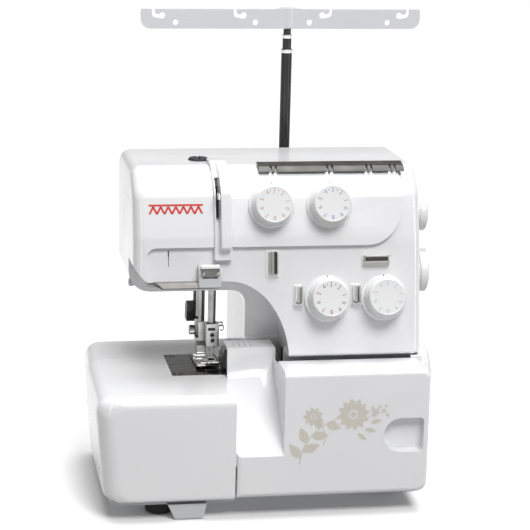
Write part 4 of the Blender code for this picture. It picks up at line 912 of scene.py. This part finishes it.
def make_hook_wires():
    """Dark bent wire of each thread hook in front of its bright plate."""
    for node in ("thread_hook_left", "thread_hook_right"):
        low, high = drawing_box(node)
        x = (low.x + high.x) / 2 + 0.8
        path = [(x, z, low.y + 2.2 + (z - low.z) * WIRE_LEAN)
                for z in (high.z - 1.2, high.z - 6, high.z - 11)]
        for degrees in range(0, 181, 20):
            turn = math.radians(degrees)
            z = low.z + 4.4 - HOOK_RADIUS * math.sin(turn)
            path.append((x - HOOK_RADIUS + HOOK_RADIUS * math.cos(turn), z,
                         low.y + 2.0 + (z - low.z) * WIRE_LEAN))
        builder = bmesh.new()
        rows = []
        points = [at(u, y, z) for u, z, y in path]
        for i, point in enumerate(points):
            along = points[min(i + 1, len(points) - 1)] - points[max(i - 1, 0)]
            spin = frame_along(along, (0, 1, 0))
            row = []
            for k in range(WIRE_SIDES):
                turn = k * math.pi / (WIRE_SIDES / 2)
                reach = Vector((math.cos(turn), math.sin(turn), 0)) * WIRE_RADIUS * MM
                row.append(builder.verts.new(point + spin @ reach))
            rows.append(row)
        for first, second in zip(rows, rows[1:]):
            for k in range(WIRE_SIDES):
                after = (k + 1) % WIRE_SIDES
                builder.faces.new((first[k], first[after], second[after], second[k]))
        builder.faces.new(rows[0])
        builder.faces.new(rows[-1])
        dress(object_from(builder, node + "_wire"), RAIL_STEEL, "machine", "satin_steel")


def make_needle_details():
    """Slot as a dark block of painted shade, set screws and knob of the needle clamp; plate, strip with a painted
    highlight, and screws of the arm's thread guide.
    """
    front = drawing_box("needle_clamp")[0].y
    black = LOOKS["dark_plastic"]
    # The slot is drawn as a dark block: painted shade in the opening.
    outline = oblong(110.6, 142.6, 6.6, 2.6, 0.5)
    slot = plate("needle_clamp_slot_shade", outline, front + 0.5, front + 1.6, front_spot)
    dress(slot, black, "needle_bar", "satin_steel")
    for number, (x, z) in enumerate(((111.0, 137.2), (111.8, 132.4)), 1):
        make_screw("needle_set_screw_%d" % number, at(x, front + 0.5, z), (0, -1, 0), 1.7, "needle_bar",
                   "satin_steel", black)
    knob = lathe("needle_clamp_knob", at(116.6, 99.0, 147.0), (1, 0, 0),
                 rounded_profile(((0, 0, 0), (2.2, 0, 0.3), (2.2, 4.2, 0.6), (0, 4.4, 0))), 40)
    dress(knob, LOOKS["bright_steel"], "needle_bar", "satin_steel")
    low = drawing_box("arm_thread_guide")[0]
    outline = oblong(99.8, 209.4, 15.6, 6.4, 0.8)
    band = plate("arm_guide_plate", outline, low.y - 0.9, low.y + 1.4, front_spot)
    dress(band, BAND_STEEL, "machine", "light_grey")
    soften(band, 0.3)
    # Strip whose near-white is a painted highlight along the top of the guide.
    outline = oblong(99.8, 214.2, 16.2, 2.6, 0.9)
    strip = plate("arm_guide_strip", outline, low.y - 1.6, low.y + 4.0, front_spot)
    dress(strip, GLEAM_PAINTED_HIGHLIGHT, "machine", "light_grey")
    soften(strip, 0.4)
    for x in (93.6, 106.0):
        make_screw("arm_guide_screw_%d" % x, at(x, low.y - 0.9, 208.2), (0, -1, 0), 1.5, "machine",
                   "light_grey", LOOKS["satin_steel"])


def make_pole_rings():
    """Bright crimped collars at the ends of the tubes."""
    outer = drawing_box("pole_outer")
    middle = drawing_box("pole_middle")
    x, y = (outer[0].x + outer[1].x) / 2, (outer[0].y + outer[1].y) / 2
    for name, body, top, radius, bore in (("outer_tube_collar", "machine", outer[1].z, 5.35, 4.3),
                                          ("middle_tube_collar", "pole_middle", middle[1].z, 4.45, 3.65)):
        profile = rounded_profile(((bore, -3.4, 0), (radius, -3.4, 0.3), (radius, -0.4, 0.5),
                                   (bore + 0.2, 0.15, 0.3), (bore, 0.0, 0)), 4)
        collar = lathe(name, at(x, y, top), (0, 0, 1), profile, 64, up=(0, 1, 0), ring=True)
        dress(collar, LOOKS["bright_steel"], body, "bright_steel")


# ---------------------------------------------------------------- floor, light, camera

FLOOR_HALF = 25.0  # metres
FLOOR_Z = -0.0002
SKY = 0.36  # strength of the white studio on surfaces
BACKDROP = 1.0  # strength of the white that only the camera sees
SUN_STRENGTH = 2.3
SUN_ANGLE = 40.0  # degrees across
SUN_FROM = (0.05, 0.10, 1.0)
SOFTBOX_AT, SOFTBOX_AIM = (0.4, -1.75, 2.25), (0.02, 0, 0.22)
SOFTBOX_WIDTH, SOFTBOX_HEIGHT, SOFTBOX_POWER = 1.2, 0.9, 52.0  # metres and watts
STRIP_AIM, STRIP_WIDTH, STRIP_HEIGHT = (0, 0, 0.3), 0.14, 1.3
# Name, place and watts of each strip; name, x, y and degrees of each board.
STRIPS = (("strip_right", (1.25, -0.9, 0.55), 5.0), ("strip_left", (-1.0, -1.3, 0.5), 2.2))
BOARDS = (("board_left", -0.9, -0.75, 50.0), ("board_right", 0.95, -0.5, -62.0))
BOARD_HALF = 0.5
BOARD_NARROW = 0.42  # width for one of height
CAMERA_AT = (-0.2914, -1.5679, 0.5796)
CAMERA_YAW, CAMERA_PITCH, CAMERA_ROLL = 8.86, 12.70, 1.06  # degrees
CAMERA_LENS, CAMERA_SENSOR = 122.26, 36.0  # millimetres
CAMERA_SHIFT = (0.10, -0.06)


def make_stage():
    """Pale floor, and a white studio that lights the object softly."""
    builder = bmesh.new()
    bmesh.ops.create_grid(builder, x_segments=8, y_segments=8, size=FLOOR_HALF)
    floor = object_from(builder, "floor")
    floor.data.materials.append(pale_floor("floor_look"))
    floor.location.z = FLOOR_Z
    floor.visible_diffuse = False
    world = bpy.data.worlds.new("studio")
    bpy.context.scene.world = world
    world.use_nodes = True
    nodes, links = world.node_tree.nodes, world.node_tree.links
    soft_sky = nodes["Background"]
    backdrop = nodes.new("ShaderNodeBackground")
    for background, strength in ((soft_sky, SKY), (backdrop, BACKDROP)):
        background.inputs["Color"].default_value = WHITE
        background.inputs["Strength"].default_value = strength
    mix = nodes.new("ShaderNodeMixShader")
    links.new(nodes.new("ShaderNodeLightPath").outputs["Is Camera Ray"], mix.inputs[0])
    links.new(soft_sky.outputs[0], mix.inputs[1])
    links.new(backdrop.outputs[0], mix.inputs[2])
    links.new(mix.outputs[0], nodes["World Output"].inputs["Surface"])


def aim_from(light, back):
    """Turns a light so that it shines against the direction back."""
    light.rotation_mode = "QUATERNION"
    light.rotation_quaternion = back.to_track_quat("Z", "Y")


def area_light(name, where, target, width, height, power):
    """Rectangular light at one point, facing another."""
    light = bpy.data.lights.new(name, "AREA")
    light.shape = "RECTANGLE"
    light.size = width
    light.size_y = height
    light.energy = power
    obj = linked(name, light)
    obj.location = where
    aim_from(obj, Vector(where) - Vector(target))
    return obj


def make_lights():
    """Broad soft sun from above, a softbox, and two strips that show as highlights only."""
    sun = bpy.data.lights.new("sun", "SUN")
    sun.energy = SUN_STRENGTH
    sun.angle = math.radians(SUN_ANGLE)
    aim_from(linked("sun", sun), Vector(SUN_FROM))
    area_light("softbox", SOFTBOX_AT, SOFTBOX_AIM, SOFTBOX_WIDTH, SOFTBOX_HEIGHT, SOFTBOX_POWER)
    for name, where, power in STRIPS:
        strip = area_light(name, where, STRIP_AIM, STRIP_WIDTH, STRIP_HEIGHT, power)
        strip.visible_diffuse = False
    make_flags()


def make_flags():
    """Black boards beside the set. Only reflections in the metal show them."""
    board = bpy.data.materials.new("black_board")
    board.use_nodes = True
    shader = board.node_tree.nodes["Principled BSDF"]
    shader.inputs["Base Color"].default_value = (0.01, 0.01, 0.01, 1.0)
    shader.inputs["Roughness"].default_value = 0.9
    for name, x, y, turn in BOARDS:
        builder = bmesh.new()
        bmesh.ops.create_grid(builder, x_segments=1, y_segments=1, size=BOARD_HALF)
        flag = object_from(builder, name)
        flag.data.materials.append(board)
        upright = Matrix.Rotation(math.radians(turn), 4, "Z") @ Matrix.Rotation(math.pi / 2, 4, "X")
        narrow = Matrix.Diagonal((BOARD_NARROW, 1.0, 1.0, 1.0))
        flag.matrix_world = Matrix.Translation((x, y, BOARD_HALF)) @ upright @ narrow
        flag.visible_camera = False
        flag.visible_diffuse = False
        flag.visible_shadow = False
        flag.visible_transmission = False


def make_camera():
    """Long lens at the photograph's viewing angle, rolled a little as the photograph is."""
    yaw, pitch, roll = math.radians(CAMERA_YAW), math.radians(CAMERA_PITCH), math.radians(CAMERA_ROLL)
    forward = Vector((math.sin(yaw) * math.cos(pitch), math.cos(yaw) * math.cos(pitch), -math.sin(pitch)))
    right = Vector((math.cos(yaw), -math.sin(yaw), 0))
    up = right.cross(forward)
    x = right * math.cos(roll) + up * math.sin(roll)
    y = up * math.cos(roll) - right * math.sin(roll)
    data = bpy.data.cameras.new("camera")
    data.lens = CAMERA_LENS
    data.sensor_width = CAMERA_SENSOR
    data.shift_x, data.shift_y = CAMERA_SHIFT
    camera = linked("camera", data)
    turned = Matrix((x, y, -forward)).transposed().to_4x4()
    camera.matrix_world = Matrix.Translation(CAMERA_AT) @ turned
    bpy.context.scene.camera = camera


# ---------------------------------------------------------------- assembly

# Nodes taken over as they are, each with the rounding of its edges in millimetres.
EDGES = {
    "bed_cover": 0.45, "cloth_plate": 0.45, "looper_cover": 0.9, "head_front_cover": 1.2,
    "head_rear_cover": 0.45, "side_cover": 0.45, "take_up_cover": 0.5, "spool_stand": 0.5,
    "base_pan": 0.4, "foot_holder": 0.3, "arm_thread_guide": 0.35, "spool_pin_1": 0.5, "spool_pin_2": 0.5,
    "spool_pin_3": 0.5, "spool_pin_4": 0.5, "lifter_lever": 0.5, "pressure_dial": 0.4,
    "power_switch": 0.35, "power_inlet": 0.35, "presser_foot": 0.25, "needle_clamp": 0.3,
    "upper_knife": 0.2, "top_thread_guide": 0.12, "take_up_lever": 0.2, "thread_guide_upright": 0.15,
    "thread_guide_level": 0.15, "thread_hook_left": 0.15, "thread_hook_right": 0.15, "needle_plate": 0.15,
    "lower_knife": 0.1, "feed_dog": 0.1, "bed_frame": 0.6, "machine_frame": 0.6, "lower_looper": 0.3,
    "upper_looper": 0.3, "motor": 0.6, "drive_belt": 0.3, "main_shaft": 0.2, "motor_pulley": 0.2,
    "foot_front_left": 0.5, "foot_front_right": 0.5, "foot_rear_left": 0.5, "foot_rear_right": 0.5,
    "guide_bar": 0.25, "pole_outer": 0.15, "pole_middle": 0.15, "pole_upper": 0.15, "presser_bar": 0.2,
    "needle_bar": 0.2, "cover_hinge_rod": 0.2, "needle_left": 0.0, "needle_right": 0.0, "lamp_lens": 0.3,
}
# Nodes whose look differs from the one of their slot.
OWN_LOOK = {"guide_bar": SHEET_GREY, "needle_plate": PLATE_STEEL, "top_thread_guide": RAIL_STEEL,
            "thread_guide_upright": GUIDE_STEEL, "thread_guide_level": GUIDE_STEEL,
            "thread_hook_left": HOOK_STEEL, "thread_hook_right": HOOK_STEEL, "needle_clamp": CLAMP_STEEL,
            "needle_bar": BAR_CHROME, "presser_bar": BAR_CHROME, "foot_holder": HOLDER_STEEL}


def main():
    """The whole scene. The pieces are made in this order each run."""
    make_camera()
    make_stage()
    make_lights()
    for node, width in EDGES.items():
        refined(node, width, OWN_LOOK.get(node))
    make_dials()
    make_handwheel()
    make_decoration()
    make_stitch_motif()
    make_seam_marks()
    make_rear_details()
    make_underarm()
    make_looper_guard()
    make_guides()
    make_bed_side()
    make_hook_wires()
    make_needle_details()
    make_pole_rings()
    bpy.context.scene.view_settings.view_transform = "Standard"


main()
